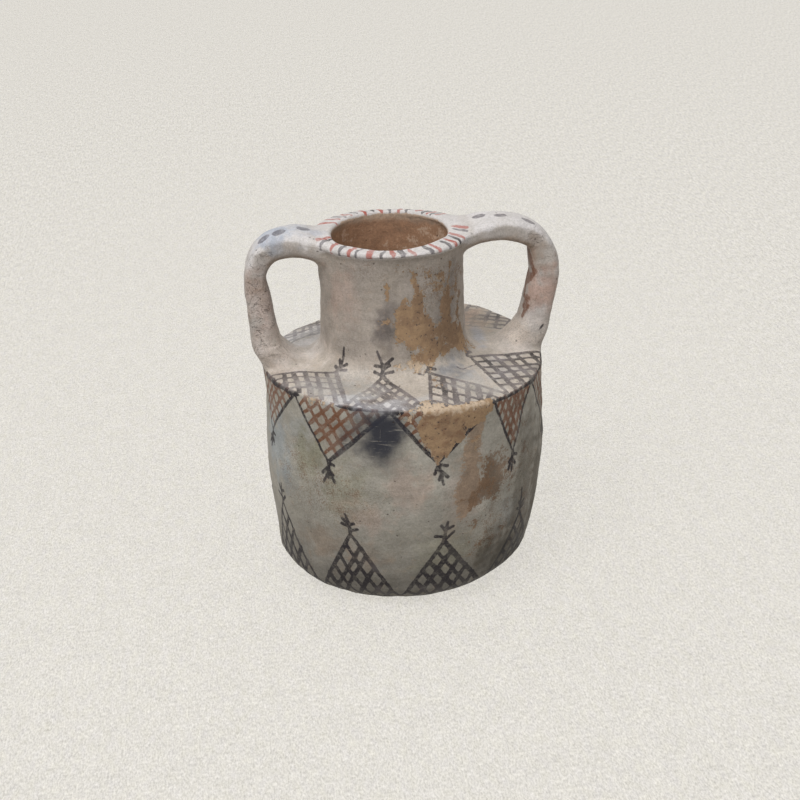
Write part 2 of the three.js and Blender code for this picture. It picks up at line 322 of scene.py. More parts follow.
def lumps(points, wavelength, seed, waves=22):
    """Sum of sine waves in seeded directions, all about one wavelength long, scaled to vary by 1."""
    random = np.random.default_rng(seed)
    directions = random.normal(size=(waves, 3))
    directions /= np.linalg.norm(directions, axis=1, keepdims=True)
    directions *= 2 * np.pi / wavelength * random.uniform(0.7, 1.4, (waves, 1))
    phases = random.uniform(0, 2 * np.pi, waves)
    total = np.zeros(points.shape[:-1])
    for direction, phase in zip(directions, phases):
        total += np.sin(points @ direction + phase)
    return total / np.sqrt(waves / 2)


# The settled mouth, in mm: how far inside the bore and under the neck's top it starts to be felt,
# where the lip's rise is full below the crest, and where it starts outside the bore. Then how sharply
# its fullest place and the rise are gathered at one side, and how often the inverse is repeated
MOUTH_FADE, RISE_FROM_CREST, RISE_FROM_BORE = 4, 3, 2
FULLEST_SHARPNESS, RISE_SHARPNESS = 6, 3
SETTLING_ROUNDS = 7


def settled(points, s):
    """Where points of the true, round jar lie after the clay has settled: each height has its own
    sideways shift, the shoulder edge rises and falls twice round the jar, and the mouth is oval."""
    x, y, z = points[..., 0], points[..., 1], points[..., 2]
    turn, radius = np.arctan2(y, x), np.hypot(x, y)
    up_to_belly = smoothstep(z, 0, s.lean_height)[..., None]
    up_to_shoulder = smoothstep(z, s.belly_height, s.shoulder_height)
    up_to_lip = smoothstep(z, s.shoulder_height, s.lip_height)[..., None]
    body = s.foot_shift + (s.belly_shift - s.foot_shift) * up_to_belly
    body = body + (s.shoulder_shift - body) * up_to_shoulder[..., None]
    neck = s.neck_shift + (s.lip_shift - s.neck_shift) * up_to_lip
    outward = smoothstep(radius, s.neck_foot_radius, s.shoulder_radius - s.wall_thickness)
    lean = np.where((z < s.belly_height)[..., None], body, neck + (body - neck) * outward[..., None])
    lift = s.shoulder_dip * outward * up_to_shoulder * np.cos(2 * (turn - s.dip_direction))
    neck_top, bore = s.lip_height - s.lip_thickness, s.neck_radius - s.neck_wall
    mouth = np.clip((z - neck_top) / (s.lip_thickness - s.lip_round), 0, 1) ** 3
    mouth = mouth * falling(radius, bore - MOUTH_FADE, s.neck_radius + s.lip_overhang)
    facing = 0.5 + 0.5 * np.cos(turn - s.mouth_direction)
    fullest = mouth * facing ** FULLEST_SHARPNESS
    lift = lift + (s.lip_lift * facing ** RISE_SHARPNESS
                   * smoothstep(z, neck_top - MOUTH_FADE, s.lip_height - RISE_FROM_CREST)
                   * smoothstep(radius, bore + RISE_FROM_BORE, s.neck_radius))
    behind = mouth * np.maximum(np.sin(turn), 0) ** 2
    stretch = 1 + (s.mouth_depth * behind + s.mouth_front * fullest) / np.maximum(radius, 1)
    return np.stack([x * stretch + lean[..., 0], y * stretch + lean[..., 1],
                     z + lift - s.mouth_drop * fullest], -1)


def unsettled(points, s):
    """The inverse of settled, found by repeating: guess = points - (settled(guess) - guess)."""
    guess = points.copy()
    for _ in range(SETTLING_ROUNDS):
        guess = points - (settled(guess, s) - guess)
    return guess


# Steps of the heel, of the worn shoulder edge and of the rounding inside the floor, the heel's step
# where the foot meets the wall, and the spacing on the lip and in the bore as shares of the outside's
HEEL_STEPS, EDGE_STEPS, ROOT_STEPS, FOOT_SEAM = 80, 8, 6, 60
LIP_SPACING, BORE_SPACING = 0.8, 1.6


def section_of(s):
    """The jar's section as named lines of (radius, height), one continuous loop from the middle
    of the foot over the wall, shoulder, neck and lip, and back inside to the middle of the floor."""
    shoulder_top = s.shoulder_height + s.shoulder_rise
    shoulder_under = shoulder_top - s.shoulder_thickness
    neck_top = s.lip_height - s.lip_thickness
    fillet_top = shoulder_top + s.neck_fillet
    bore = s.neck_radius - s.neck_wall
    lip_radius = s.neck_radius + s.lip_overhang
    lip_edge = s.lip_height - s.lip_slope
    crest = bore - s.lip_inward
    crown = (s.shoulder_height + shoulder_top) / 2 + s.shoulder_crown
    heel_corner = s.foot_radius + (s.heel_radius - s.foot_radius) * s.heel_fullness

    # Where one curve ends and the next starts
    heel_end, belly = (s.heel_radius, s.heel_height), (s.belly_radius, s.belly_height)
    sharp_edge, neck_foot = (s.shoulder_radius, s.shoulder_height), (s.neck_foot_radius, shoulder_top)
    flare_top, lip_foot = (s.neck_radius, fillet_top), (s.neck_radius, neck_top)
    lip_outside, lip_outer_top = (lip_radius, lip_edge - s.lip_drop), (lip_radius - s.lip_round, lip_edge)
    crest_top, crest_inside = (crest + s.lip_round, s.lip_height), (crest, s.lip_height - s.lip_round)
    bore_top, bore_end = (bore, neck_top), (bore, shoulder_under + s.bore_fillet)
    under_neck = (s.neck_foot_radius, shoulder_under)
    inner_corner = np.array([s.shoulder_radius - s.wall_thickness,
                             s.shoulder_height - s.shoulder_thickness])

    heel = drawn((s.foot_radius, 0), (heel_corner, 0), heel_end, HEEL_STEPS)
    lower = drawn(heel_end, (s.belly_radius - s.lower_flatness, (s.heel_height + s.belly_height) / 2),
                  belly)
    upper = drawn(belly, (s.shoulder_radius - s.upper_hollow, (s.belly_height + s.shoulder_height) / 2),
                  sharp_edge)
    wall = spaced(joined(heel[FOOT_SEAM:], lower, upper), s.grid)
    shoulder = spaced(drawn(sharp_edge, ((s.shoulder_radius + s.neck_foot_radius) / 2, crown),
                            neck_foot), s.grid)
    inner_wall = offset(joined(lower, upper), s.wall_thickness)
    inner_wall = inner_wall[(inner_wall[:, 1] > s.floor_thickness + s.root_fillet)
                            & (inner_wall[:, 1] < inner_corner[1] - s.lip_round)][::-1]
    root_top = inner_wall[-1]
    floor_edge = np.array([root_top[0] - s.root_fillet, s.floor_thickness])
    root = drawn(root_top, (root_top[0], s.floor_thickness), floor_edge, ROOT_STEPS)

    # The sharp edge is worn round: both lines are cut back and meet in the middle of a small curve
    below = wall[run_of(wall) < run_of(wall)[-1] - s.edge_round]
    beyond = shoulder[run_of(shoulder) > s.edge_round]
    edge = drawn(below[-1], sharp_edge, beyond[0], EDGE_STEPS)
    middle = EDGE_STEPS // 2

    lip = joined(
        drawn(lip_foot, (s.neck_radius, neck_top + s.lip_curl), lip_outside),
        drawn(lip_outside, (lip_radius + s.lip_bead, lip_edge), lip_outer_top),
        np.array([lip_outer_top, crest_top]),
        drawn(crest_top, (crest, s.lip_height), crest_inside),
        drawn(crest_inside, (bore, (neck_top + s.lip_height) / 2), bore_top))
    neck = joined(
        drawn(neck_foot, (s.neck_radius, shoulder_top), flare_top),
        drawn(flare_top, (s.neck_radius - 2 * s.neck_waist, (fillet_top + neck_top) / 2), lip_foot))
    bore_line = joined(np.array([bore_top, bore_end]),
                       drawn(bore_end, (bore, shoulder_under), under_neck))
    underside = drawn(under_neck, ((inner_corner[0] + s.neck_foot_radius) / 2,
                                   crown - s.shoulder_thickness), inner_corner)
    return {
        "foot_out": joined(spaced(np.array([(0, 0), (s.foot_radius, 0.0)]), s.inside_grid),
                           spaced(heel[:FOOT_SEAM + 1], s.grid)),
        "wall_out": joined(below, edge[:middle + 1]),
        "shoulder_out": joined(edge[middle:], beyond),
        "neck_out": spaced(neck, s.grid),
        "lip": spaced(lip, LIP_SPACING * s.grid),
        "neck_in": spaced(bore_line, BORE_SPACING * s.grid),
        "shoulder_in": spaced(underside, s.inside_grid),
        "wall_in": joined(spaced(np.vstack([inner_corner, inner_wall]), s.inside_grid),
                          spaced(root, s.inside_grid)),
        "floor_in": spaced(np.array([floor_edge, (0, s.floor_thickness)]), s.inside_grid),
    }


# Marks of the hand: depth and wavelength in mm, seed, and how narrow they are against their length
# round the jar. They fade out towards the flat underside, below a height in mm
HAND_MARKS = ((0.36, 75, 3, 1), (0.2, 30, 5, 1), (0.07, 11, 7, 1), (0.05, 5.5, 11, 0.12),
              (0.02, 4, 13, 1))
FLAT_BELOW = 6


def relief(points):
    """How far the hand left the surface out or in, in mm: broad lumps, finger-wide lumps, marks of
    wiping that run round the jar, and small grain."""
    marks = sum(depth * lumps(points * np.array([narrow, narrow, 1.0]), wavelength, seed)
                for depth, wavelength, seed, narrow in HAND_MARKS)
    return smoothstep(points[..., 2], 0, FLAT_BELOW) * marks


def grid_normals(points):
    """Unit normals of a grid that closes round: the cross product of the steps across and along."""
    along = np.gradient(points, axis=0)
    across = np.roll(points, -1, axis=1) - np.roll(points, 1, axis=1)
    normals = np.cross(across, along)
    return normals / np.maximum(np.linalg.norm(normals, axis=-1, keepdims=True), 1e-12)


class Skin:
    """The whole jar's skin: a grid of rows (places along the section) by columns (turns), with its
    points and normals. Each turned piece is cut from it by rows, so neighbours meet. A row's run is
    its length along the section, counted from the shoulder's edge."""

    def __init__(self, s):
        self.s = s
        section = section_of(s)
        rows, self.spans, start = [], {}, 0
        for name, line in section.items():
            kept = line if not rows else line[1:]
            rows.append(kept)
            first = start - 1 if start else 0
            start += len(kept)
            self.spans[name] = np.arange(first, start)
        self.line = np.concatenate(rows)
        self.run = run_of(self.line)
        self.run -= self.run[self.spans["wall_out"][-1]]
        lip = self.spans["lip"]
        self.lip_edge, self.lip_crest = self.run[lip[np.argmax(self.line[lip], axis=0)]]
        self.turn = np.arange(s.columns) * 2 * np.pi / s.columns
        self.plain, self.plain_normals = self.at_rows(self.line, self.turn)
        lift = relief(self.plain)[..., None]
        self.points = self.plain + self.plain_normals * lift
        self.normals = self.finished_normals(self.points)

    def at_rows(self, line, turn):
        """Points radius·cos, radius·sin, height over the grid, settled, with their normals."""
        radius, height = line[:, :1], line[:, 1:]
        grid = np.stack([radius * np.cos(turn), radius * np.sin(turn),
                         height + 0 * turn], -1)
        grid = settled(grid, self.s)
        return grid, self.finished_normals(grid)

    def finished_normals(self, grid):
        """Normals of the grid, with the two middles looking straight down and up."""
        normals = grid_normals(grid)
        normals[0], normals[-1] = (0, 0, -1), (0, 0, 1)
        return normals

    def place(self, run, turn):
        """The plain point at a run and a turn."""
        radius = np.interp(run, self.run, self.line[:, 0])
        height = np.interp(run, self.run, self.line[:, 1])
        return settled(np.stack([radius * np.cos(turn), radius * np.sin(turn), height], -1), self.s)

    def on(self, run, turn, place=None):
        """Points of the skin at any runs and turns, with the cross product of small steps there."""
        place = place or self.place
        step, twist = 0.5, 0.008
        along = place(run + step, turn) - place(run - step, turn)
        across = place(run, turn + twist) - place(run, turn - twist)
        normals = np.cross(across, along)
        return place(run, turn), normals / np.linalg.norm(normals, axis=-1, keepdims=True)

    def nearest_run(self, points):
        """The run of the outer line that lies nearest to each point."""
        flat = unsettled(points.reshape(-1, 3), self.s)
        flat = np.stack([np.hypot(flat[:, 0], flat[:, 1]), flat[:, 2]], 1)
        last = self.spans["lip"][-1]
        line = self.line[:last]
        nearest = np.argmin((flat[:, None, 0] - line[None, :, 0]) ** 2
                            + (flat[:, None, 1] - line[None, :, 1]) ** 2, axis=1)
        return self.run[nearest].reshape(points.shape[:-1])

    def finished_on(self, run, turn):
        """The same on the finished skin, its relief included."""
        def place(run, turn):
            points, normals = self.on(run, turn)
            return points + normals * relief(points)[..., None]
        return self.on(run, turn, place)


def make_mesh(name, points, normals, capped, fields, colours):
    """A closed mesh from a grid of points in mm. Rows join to the next, columns join round. Where
    capped, the first and last rows are single points, and otherwise the last row joins the first."""
    rows, columns = points.shape[:2]
    index = np.arange(rows * columns).reshape(rows, columns)
    right = np.roll(index, -1, axis=1)
    keep = np.ones(rows * columns, bool)
    if capped:
        keep[index[0, 1:]] = keep[index[-1, 1:]] = False
        body = slice(1, rows - 2)
        quads = np.stack([index[body], right[body], right[2:rows - 1], index[2:rows - 1]], -1)
        first = np.stack([np.full(columns, index[0, 0]), right[1], index[1]], -1)
        last = np.stack([np.full(columns, index[-1, 0]), index[-2], right[-2]], -1)
        triangles = np.concatenate([first, last])
    else:
        quads = np.stack([index, right, np.roll(right, -1, axis=0), np.roll(index, -1, axis=0)], -1)
        triangles = np.zeros((0, 3), int)
    quads = quads.reshape(-1, 4)
    renumber = np.cumsum(keep) - 1
    mesh = bpy.data.meshes.new(name)
    mesh.vertices.add(int(keep.sum()))
    mesh.vertices.foreach_set("co", (points.reshape(-1, 3)[keep] / MM_IN_METRE).ravel())
    corners = renumber[np.concatenate([quads.ravel(), triangles.ravel()])]
    sizes = np.concatenate([np.full(len(quads), 4), np.full(len(triangles), 3)])
    mesh.loops.add(len(corners))
    mesh.loops.foreach_set("vertex_index", corners)
    mesh.polygons.add(len(sizes))
    mesh.polygons.foreach_set("loop_start", np.concatenate([[0], np.cumsum(sizes)[:-1]]))
    mesh.polygons.foreach_set("use_smooth", np.ones(len(sizes), bool))
    mesh.update(calc_edges=True)
    mesh.normals_split_custom_set_from_vertices(normals.reshape(-1, 3)[keep])
    for field, values in fields.items():
        layer = mesh.attributes.new(field, "FLOAT", "POINT")
        layer.data.foreach_set("value", values.ravel()[keep].astype(np.float32))
    for field, values in colours.items():
        layer = mesh.attributes.new(field, "FLOAT_COLOR", "POINT")
        rgba = np.concatenate([values.reshape(-1, 3)[keep], np.ones((int(keep.sum()), 1))], 1)
        layer.data.foreach_set("color", rgba.ravel().astype(np.float32))
    piece = bpy.data.objects.new(name, mesh)
    bpy.context.scene.collection.objects.link(piece)
    return piece


def turned_object(name, skin, colours, outer, inner=None):
    """One turned piece: its outer rows and then its inner rows, closed into one loop."""
    rows = skin.spans[outer]
    if inner:
        rows = np.concatenate([rows, skin.spans[inner]])
    run = np.broadcast_to(skin.run[rows, None], (len(rows), len(skin.turn)))
    fields, tints = dressing(skin.plain[rows], skin.plain_normals[rows], run, skin, colours)
    return make_mesh(name, skin.points[rows], skin.normals[rows], outer == "foot_out",
                     fields, tints)


# The strap handles

# Points over which a strap's line is eased. The rings that close it under the skin, as shares of its
# oval, and how far they are sunk in mm. On its outer face, how many mm farther from the neck the root
# starts, and by what share lower the foot starts
EASED_OVER = 9
CAP_RINGS, CAP_DEPTH = (1e-6, 0.25, 0.5, 0.75, 0.95), 1.2
ROOT_FARTHER, FOOT_LOWER = 4, 0.5


def bulged(turn, squareness):
    """Cosine and sine of a turn, both drawn outwards so that the circle becomes a rounded square:
    each divided by (|cos|^n + |sin|^n)^(1/n)."""
    cosine, sine = np.cos(turn), np.sin(turn)
    size = (np.abs(cosine) ** squareness + np.abs(sine) ** squareness) ** (1 / squareness)
    return cosine / size, sine / size


def flare(distance):
    """Share of a spread left at a distance from where it starts: (1 - distance)² down to 0."""
    return (1 - np.clip(distance, 0, 1)) ** 2


class Strap:
    """One strap: rounded flat sections carried along its outer line, whose ends run out onto the
    jar's skin inside two ovals, tangent to the skin all round."""

    def __init__(self, skin, sizes, which):
        self.skin, self.s = skin, skin.s
        self.h = SimpleNamespace(**{
            key: value[which] if isinstance(value, np.ndarray) else value
            for key, value in vars(sizes).items()})
        self.side = -1 if which == LEFT else 1
        self.middle = np.pi if which == LEFT else 0.0
        s, h = self.s, self.h
        top = s.lip_height + h.top_rise
        edge = s.shoulder_radius + self.side * s.shoulder_shift[0]
        reach = edge + h.overhang
        knee = (edge + h.foot_overhang, s.shoulder_height + h.foot_curl)
        line = spaced(joined(
            np.array([(s.neck_radius / 2, s.lip_height + h.root_rise), (reach - h.bend, top)]),
            drawn((reach - h.bend, top), (reach, top), (reach, top - h.bend)),
            np.array([(reach, top - h.bend), knee]),
            drawn(knee, (edge, s.shoulder_height),
                  (edge - h.foot_tuck, s.shoulder_height - h.foot_curl))), h.grid)
        self.line = eased(line, EASED_OVER)
        self.run = run_of(self.line)
        slope = np.gradient(self.line, axis=0)
        self.slope = slope / np.linalg.norm(slope, axis=1, keepdims=True)
        self.top = top
        self.bend_end = top - h.bend
        self.reach = reach
        self.turn = np.arange(h.sides) * 2 * np.pi / h.sides

    def at(self, run, turn):
        """Point of the loft: the outer line, stepped across by half the width times cos, and
        inwards by half the thickness times (1 - sin), both drawn towards a rounded square."""
        s, h = self.s, self.h
        x, z = (np.interp(run, self.run, self.line[:, i]) for i in (0, 1))
        dx, dz = (np.interp(run, self.run, self.slope[:, i]) for i in (0, 1))
        from_neck = run - (s.neck_radius + self.side * s.neck_shift[0] - s.neck_radius / 2)
        low = z < self.bend_end
        at_foot = np.where(low, flare((z - s.shoulder_height) / h.foot_flare), 0)
        down = np.where(low, 1, smoothstep(x, self.reach - h.thickening_run, self.reach))
        thickness = (h.bar_thickness + (h.leg_thickness - h.bar_thickness) * down
                     + h.root_spread * flare(from_neck / h.root_flare) + h.foot_spread * at_foot
                     - h.pinch * down * np.exp(-((self.top - z - h.pinch_drop) / h.pinch_reach) ** 2))
        width = (h.bar_width + (h.leg_width - h.bar_width) * down
                 + (h.root_width - h.bar_width) * flare(from_neck / h.root_splay)
                 + (h.foot_width - h.leg_width) * at_foot)
        cosine, sine = bulged(turn, h.squareness)
        across = cosine * width / 2
        inward = (1 - sine) * thickness / 2
        return np.stack([self.side * (x + dz * inward), self.side * across, z - dx * inward], -1)

    def crossing(self, value, level):
        """For each column, the run at which a value on the loft's grid first passes its level."""
        over = value > level
        row = np.maximum(np.argmax(over, axis=0), 1)
        column = np.arange(value.shape[1])
        before, after = value[row - 1, column], value[row, column]
        part = (level - before) / np.where(after == before, 1, after - before)
        return self.run[row - 1] + (self.run[row] - self.run[row - 1]) * np.clip(part, 0, 1)

    def oval(self, size, low, high, half_width, upwards):
        """Runs and turns of an oval on the skin, scaled by size: from low to high along the
        section, half_width to each side, with the strap's outer face at its upper or lower end."""
        middle, half = (low + high) / 2, (high - low) / 2
        cosine, sine = bulged(self.turn, self.h.landing_squareness)
        run = middle + size * half * sine * (1 if upwards else -1)
        radius = np.interp(run, self.skin.run, self.skin.line[:, 0])
        across = size * half_width * cosine
        return run, self.middle + np.arcsin(np.clip(across / radius, -0.95, 0.95))

    def landing(self, start, heading, oval, rows):
        """Rows from the loft to the skin: for each column a cubic that leaves along the loft and
        arrives along the skin, outwards from the oval's middle. Its last row lies on the skin."""
        end, normal = self.skin.on(*oval(1.0))
        outwards = self.skin.on(*oval(1.03))[0] - self.skin.on(*oval(0.97))[0]
        outwards /= np.linalg.norm(outwards, axis=-1, keepdims=True)
        gap = np.linalg.norm(end - start, axis=-1, keepdims=True)
        t = (np.arange(1, rows + 1) / rows)[:, None, None]
        points = ((2 * t**3 - 3 * t**2 + 1) * start + (t**3 - 2 * t**2 + t) * heading * gap
                  + (3 * t**2 - 2 * t**3) * end + (t**3 - t**2) * outwards * gap)
        return points, normal

    def grid(self):
        """All rows of the strap, from the hidden middle of its root to that of its foot."""
        s, h = self.s, self.h
        loft = self.at(self.run[:, None], self.turn[None, :])
        outer = (1 + np.sin(self.turn)) / 2
        centre = s.lip_shift[0]
        plan = np.hypot(loft[..., 0] - centre, loft[..., 1])
        begin = self.crossing(plan, s.neck_radius + h.root_clear + ROOT_FARTHER * outer)
        fall = -loft[..., 2]
        end = self.crossing(fall, -(s.shoulder_height + h.foot_clear * (1 - FOOT_LOWER * outer)))
        count = int(round((end - begin).max() / h.grid))
        places = begin + (end - begin) * np.linspace(0, 1, count + 1)[:, None]
        body = self.at(places, self.turn)
        step = 0.4
        leaving = (self.at(begin, self.turn) - self.at(begin + step, self.turn)) / step
        arriving = (self.at(end, self.turn) - self.at(end - step, self.turn)) / step

        neck_rows, lip_rows = self.skin.spans["neck_out"], self.skin.spans["lip"]
        under = self.skin.run[neck_rows[-1]] - h.root_under
        over = self.skin.run[lip_rows[0]] + h.root_over

        def root(size):
            return self.oval(size, under, over, h.root_half, True)

        def foot(size):
            return self.oval(size, -h.foot_below, h.foot_inside, h.foot_half, False)

        root_rows, root_normals = self.landing(body[0], leaving, root, h.landing_rows)
        foot_rows, foot_normals = self.landing(body[-1], arriving, foot, h.landing_rows)
        rows = np.concatenate([root_rows[::-1], body, foot_rows])
        normals = grid_normals(rows)
        normals[0], normals[-1] = root_normals, foot_normals
        finished = rows + normals * relief(rows)[..., None]
        shading = grid_normals(finished)
        shading[0], shading[-1] = (self.skin.finished_on(*oval(1.0))[1] for oval in (root, foot))

        # Under each oval the strap is closed by a hidden sheet, sunk a little below the skin
        caps = []
        for oval in (root, foot):
            rings = zip(*[oval(size) for size in CAP_RINGS])
            sheet, lean = self.skin.finished_on(*(np.stack(part) for part in rings))
            caps.append((sheet - CAP_DEPTH * lean, sheet, lean))
        finished = np.concatenate([caps[0][0], finished, caps[1][0][::-1]])
        plain = np.concatenate([caps[0][1], rows, caps[1][1][::-1]])
        shading = np.concatenate([caps[0][2], shading, caps[1][2][::-1]])
        return finished, plain, shading


def eased(points, window):
    """A line whose inner points are averaged with their neighbours, its ends kept."""
    half = window // 2
    padded = np.concatenate([
        2 * points[0] - points[half:0:-1], points, 2 * points[-1] - points[-2:-half - 2:-1]])
    kernel = np.hanning(window + 2)[1:-1]
    kernel /= kernel.sum()
    return np.stack([np.convolve(padded[:, i], kernel, mode="valid") for i in (0, 1)], 1)


def strap_object(name, skin, sizes, colours, which):
    """One strap handle as a closed piece."""
    strap = Strap(skin, sizes, which)
    points, plain, normals = strap.grid()
    run = skin.nearest_run(plain)
    fields, tints = dressing(plain, normals, run, skin, colours, on_strap=True)
    return make_mesh(name, points, normals, True, fields, tints)


# Paint: each stroke is a line of points with a width, and a field holds the signed distance in mm
# to the nearest stroke of one colour, below 0 inside it

# Sprigs drawn pointing up from an apex at 0, 0, as strokes of two or three points in mm
SPRIGS = {
    "anchor": (((0, 0), (0.6, 7), (1.5, 18)), ((0.6, 2), (-3.8, 4)), ((0.6, 2), (6, 3.4)),
               ((0.6, 4.5), (-2.2, 9)), ((0.6, 4.5), (5.2, 7.4))),
    "leaning": (((0, 0), (-0.4, 7.8), (-3.9, 17)), ((-1.3, 1.3), (-5.9, 3.3)),
                ((-0.9, 6.5), (-5.6, 7.2)), ((1.3, 2), (6.5, 3.3)), ((0.7, 5.2), (4.3, 8)),
                ((0.7, 7.2), (6.5, 12))),
    "root": (((0, 0), (0.5, 7), (0.8, 11.7)), ((0, 3.2), (-4.4, 8.4)), ((0.4, 1), (4.3, 1.7)),
             ((1, 6.5), (5.2, 13.6)), ((0, 7.8), (-2.9, 13.6)), ((0.6, 5), (3.9, 8.6))),
    "twig": (((0, 0), (1.3, 7), (2.9, 15.6)), ((0.7, 0.7), (6.1, 2.6)), ((0, 0.7), (-2.6, 7.2)),
             ((2.2, 5.9), (5.9, 10.4)), ((2, 6.5), (0.3, 11.7))),
    "claw": (((0, 0), (-1, 6), (-2.6, 13)), ((0, 1.4), (3.4, 3)), ((-0.6, 4), (-5.6, 10.5)),
             ((-0.8, 4.6), (1.6, 9)), ((-0.4, 3), (-4.6, 6))),
    "hook": (((0, 0), (-0.7, 8.5), (-3, 15.2)), ((0, 2), (5.6, 4.3)), ((-0.9, 5.2), (-6.1, 6.9)),
             ((-0.7, 6.5), (3.3, 8.5)), ((-0.9, 7.2), (-5.2, 11))),
    "fork": (((0, 0), (0.7, 7.8), (2.3, 15)), ((0.7, 0.7), (6.8, 6.5)), ((-0.3, 3.3), (-6.2, 4.6)),
             ((0.7, 7.8), (-2.3, 12.4)), ((1, 8.5), (5.9, 10.7))),
    "worn": (((-1, 2), (3, 5)), ((2, 3), (5, 2)), ((4, 6), (3, 9)))}
# Hatched triangles on the shoulder, seen from above: apex, left and right corner, strokes parallel
# to the left and to the right side with their widths, sprig
SHOULDER_TRIANGLES = (
    ((-46.7, -36.1), (-88, -24), (-45, -79), (4, 1.9), (5, 3.3), "anchor"),
    ((-17.8, -51.8), (-43.3, -80), (3.6, -91), (6, 2.7), (6, 3.1), "leaning"),
    ((12.9, -51.7), (7.5, -92), (57, -74), (5, 3.4), (4, 2.4), "worn"),
    ((44.7, -27.3), (59.5, -71), (95, -15.2), (5, 3.4), (5, 2.7), "worn"),
    ((46, 32), (95, 16), (62, 71), (5, 2.8), (5, 2.6), "root"),
    ((17, 52), (59, 75), (10, 93.5), (6, 2.8), (5, 3), "fork"),
    ((-16, 52.5), (6, 94), (-40, 84.5), (5, 2.8), (5, 2.6), "anchor"),
    ((-45, 37), (-43, 83), (-87, 24), (6, 2.4), (5, 3), "leaning"))
# Triangles that hang on the wall: left corner, apex angle and height, right corner, sprig and
# the widths of their left and right outline
HANGING_TRIANGLES = (
    (-181, -165, 115, -143.6, "claw", 2.0, 2.2), (-143.6, -128.2, 111.8, -101.5, "root", 2.1, 3.4),
    (-101.5, -83.3, 114.7, -58.9, "twig", 2.8, 3.0), (-58.9, -47.8, 106.5, -35.2, "claw", 2.0, 1.9),
    (-35.2, -17, 109, 0, "root", 1.9, 2.2), (0, 18, 112, 35, "twig", 2.2, 2.4),
    (35, 53, 110, 71, "claw", 2.3, 2.2), (71, 88, 113, 107, "hook", 2.4, 2.8),
    (107, 125, 110, 143, "root", 2.2, 2.4), (143, 161, 113, 179, "fork", 2.4, 2.0))
# Triangles that stand on the heel, in the same order, and how far up the wall their sides start
STANDING_TRIANGLES = (
    (-176, -159.9, 64, -138.1, "fork", 1.9, 2.2), (-138.1, -119.9, 61, -100.5, "hook", 2.4, 2.8),
    (-99.5, -81.1, 56, -59.5, "fork", 2.6, 3.4), (-58.5, -41.5, 56, -22, "anchor", 2.4, 2.4),
    (-21.5, 0, 59, 20, "hook", 2.9, 2.2), (21, 38, 58, 53, "leaning", 2.6, 2.2),
    (53, 70, 62, 90, "fork", 2.4, 2.8), (90, 108, 57, 127, "hook", 2.6, 2.4),
    (127, 145, 61, 164, "anchor", 2.2, 2.6), (164, 175.5, 48, 184, "fork", 2.4, 2.2))
HEEL_REACH = 8
# Where the black line along the shoulder's edge is lost, in degrees, and how softly
LOST_EDGE = ((-140, -125, 4), (-96, -58.5, 1), (38, 52, 3), (96, 118, 3))
# Round dabs on the handles, seen from above: place, length along the handle and width
STRAP_DABS = (((-86.8, -3.5), 8.5, 8), ((-76.6, -4.3), 9, 8), ((-60.5, 0), 9, 8.6),
              ((56.5, 4), 9, 6.4), ((70.4, -0.2), 8.4, 6.4), ((88.2, -4), 8, 9))
# Brown brush marks on the inner face of the right handle: sideways place and height, with their
# width, and the spot that is left open in them. Sideways lengths count by MARK_SQUEEZE
STRAP_MARKS = (
    (((4, 226), (-3, 217), (-6, 209)), 4.6), (((-6, 209), (-3, 202), (2, 198)), 4.8),
    (((5, 224), (7, 208), (4, 196)), 3.4), (((3, 194), (0, 187)), 2),
    (((-6, 189), (-3, 181)), 3), (((-8, 184), (-5, 175)), 2.4))
STRAP_SPOT = ((-1, 207.5), 2.4)
MARK_SQUEEZE = 0.4
# A dark dash low on the right handle, in space, and its width
STRAP_DASH = (((93.8, -15, 166.3), (97.4, -12.6, 170.8)), 1.7)
# Stripes across the lip: paint, angle at the inner and at the outer edge, width
LIP_STRIPES = (
    ("red", -171, -160, 4.3), ("black", -165, -154.5, 2.9), ("red", -153, -143, 3.2),
    ("black", -140, -135, 3.2), ("red", -128.5, -127.5, 3.1), ("black", -120, -121.7, 1.9),
    ("red", -112.4, -112, 4.2), ("black", -101, -103.7, 2.6), ("red", -96, -95, 3.8),
    ("black", -89, -87.7, 4.1), ("red", -81, -79, 3.1), ("black", -66.3, -65.7, 4.1),
    ("red", -59.3, -59, 3.2), ("black", -46, -49, 2.9), ("red", -39, -42, 3.2),
    ("black", -27, -36, 3.2), ("red", -20, -27.5, 3.5), ("black", -10, -18, 2.5),
    ("red", -4, -12, 3.8), ("red", 34, 33, 2.4), ("black", 39, 38, 2.3), ("red", 44, 43, 2.4),
    ("black", 49.5, 48.5, 4.1), ("red", 56.5, 55.5, 3.8), ("black", 66, 67, 2.6),
    ("red", 74, 73, 3.2), ("black", 82, 83, 2.6), ("red", 90, 91, 3.8), ("black", 98, 97, 2.6),
    ("red", 106, 107, 3.2), ("black", 114, 116, 2.9), ("red", 121, 124, 2.7), ("black", 129, 133, 3.2),
    ("red", 137, 142, 3.0), ("red", 146, 153, 3.2))
# Scratches and open cracks in the shoulder's slip, in space
SCRATCHES = (
    ((5.5, -48.1, 166.6), (10.2, -47.4, 165.2), (12.6, -48.3, 161.8)),
    ((33, -42.4, 158), (36.4, -45, 157.3), (41.8, -41, 157.3), (47.4, -36.6, 157)),
    ((5.9, -52.8, 159.3), (8.6, -53.6, 159), (11.4, -51.1, 159.5)), ((8, -47.6, 167), (12, -46.6, 164)))


# In mm: the largest distance that a field tells, how far off the skin a strap still takes the jar's
# paint, how far a stroke's points waver, and how far round it the field is worked out. The stroke's
# widths from start to end are shares
FAR, ON_SKIN = 9.0, 3.5
STROKE_WIDTHS = np.array([0.8, 1, 1, 1, 0.95, 0.7])
WAVER, STROKE_MARGIN = 0.16, 7
# How far a sprig's points waver, and the widths of its stem and twigs from start to end, in mm
SPRIG_WAVER, STEM_WIDTHS, TWIG_WIDTHS = 0.12, (2.8, 1.7), (2.1, 2.3)
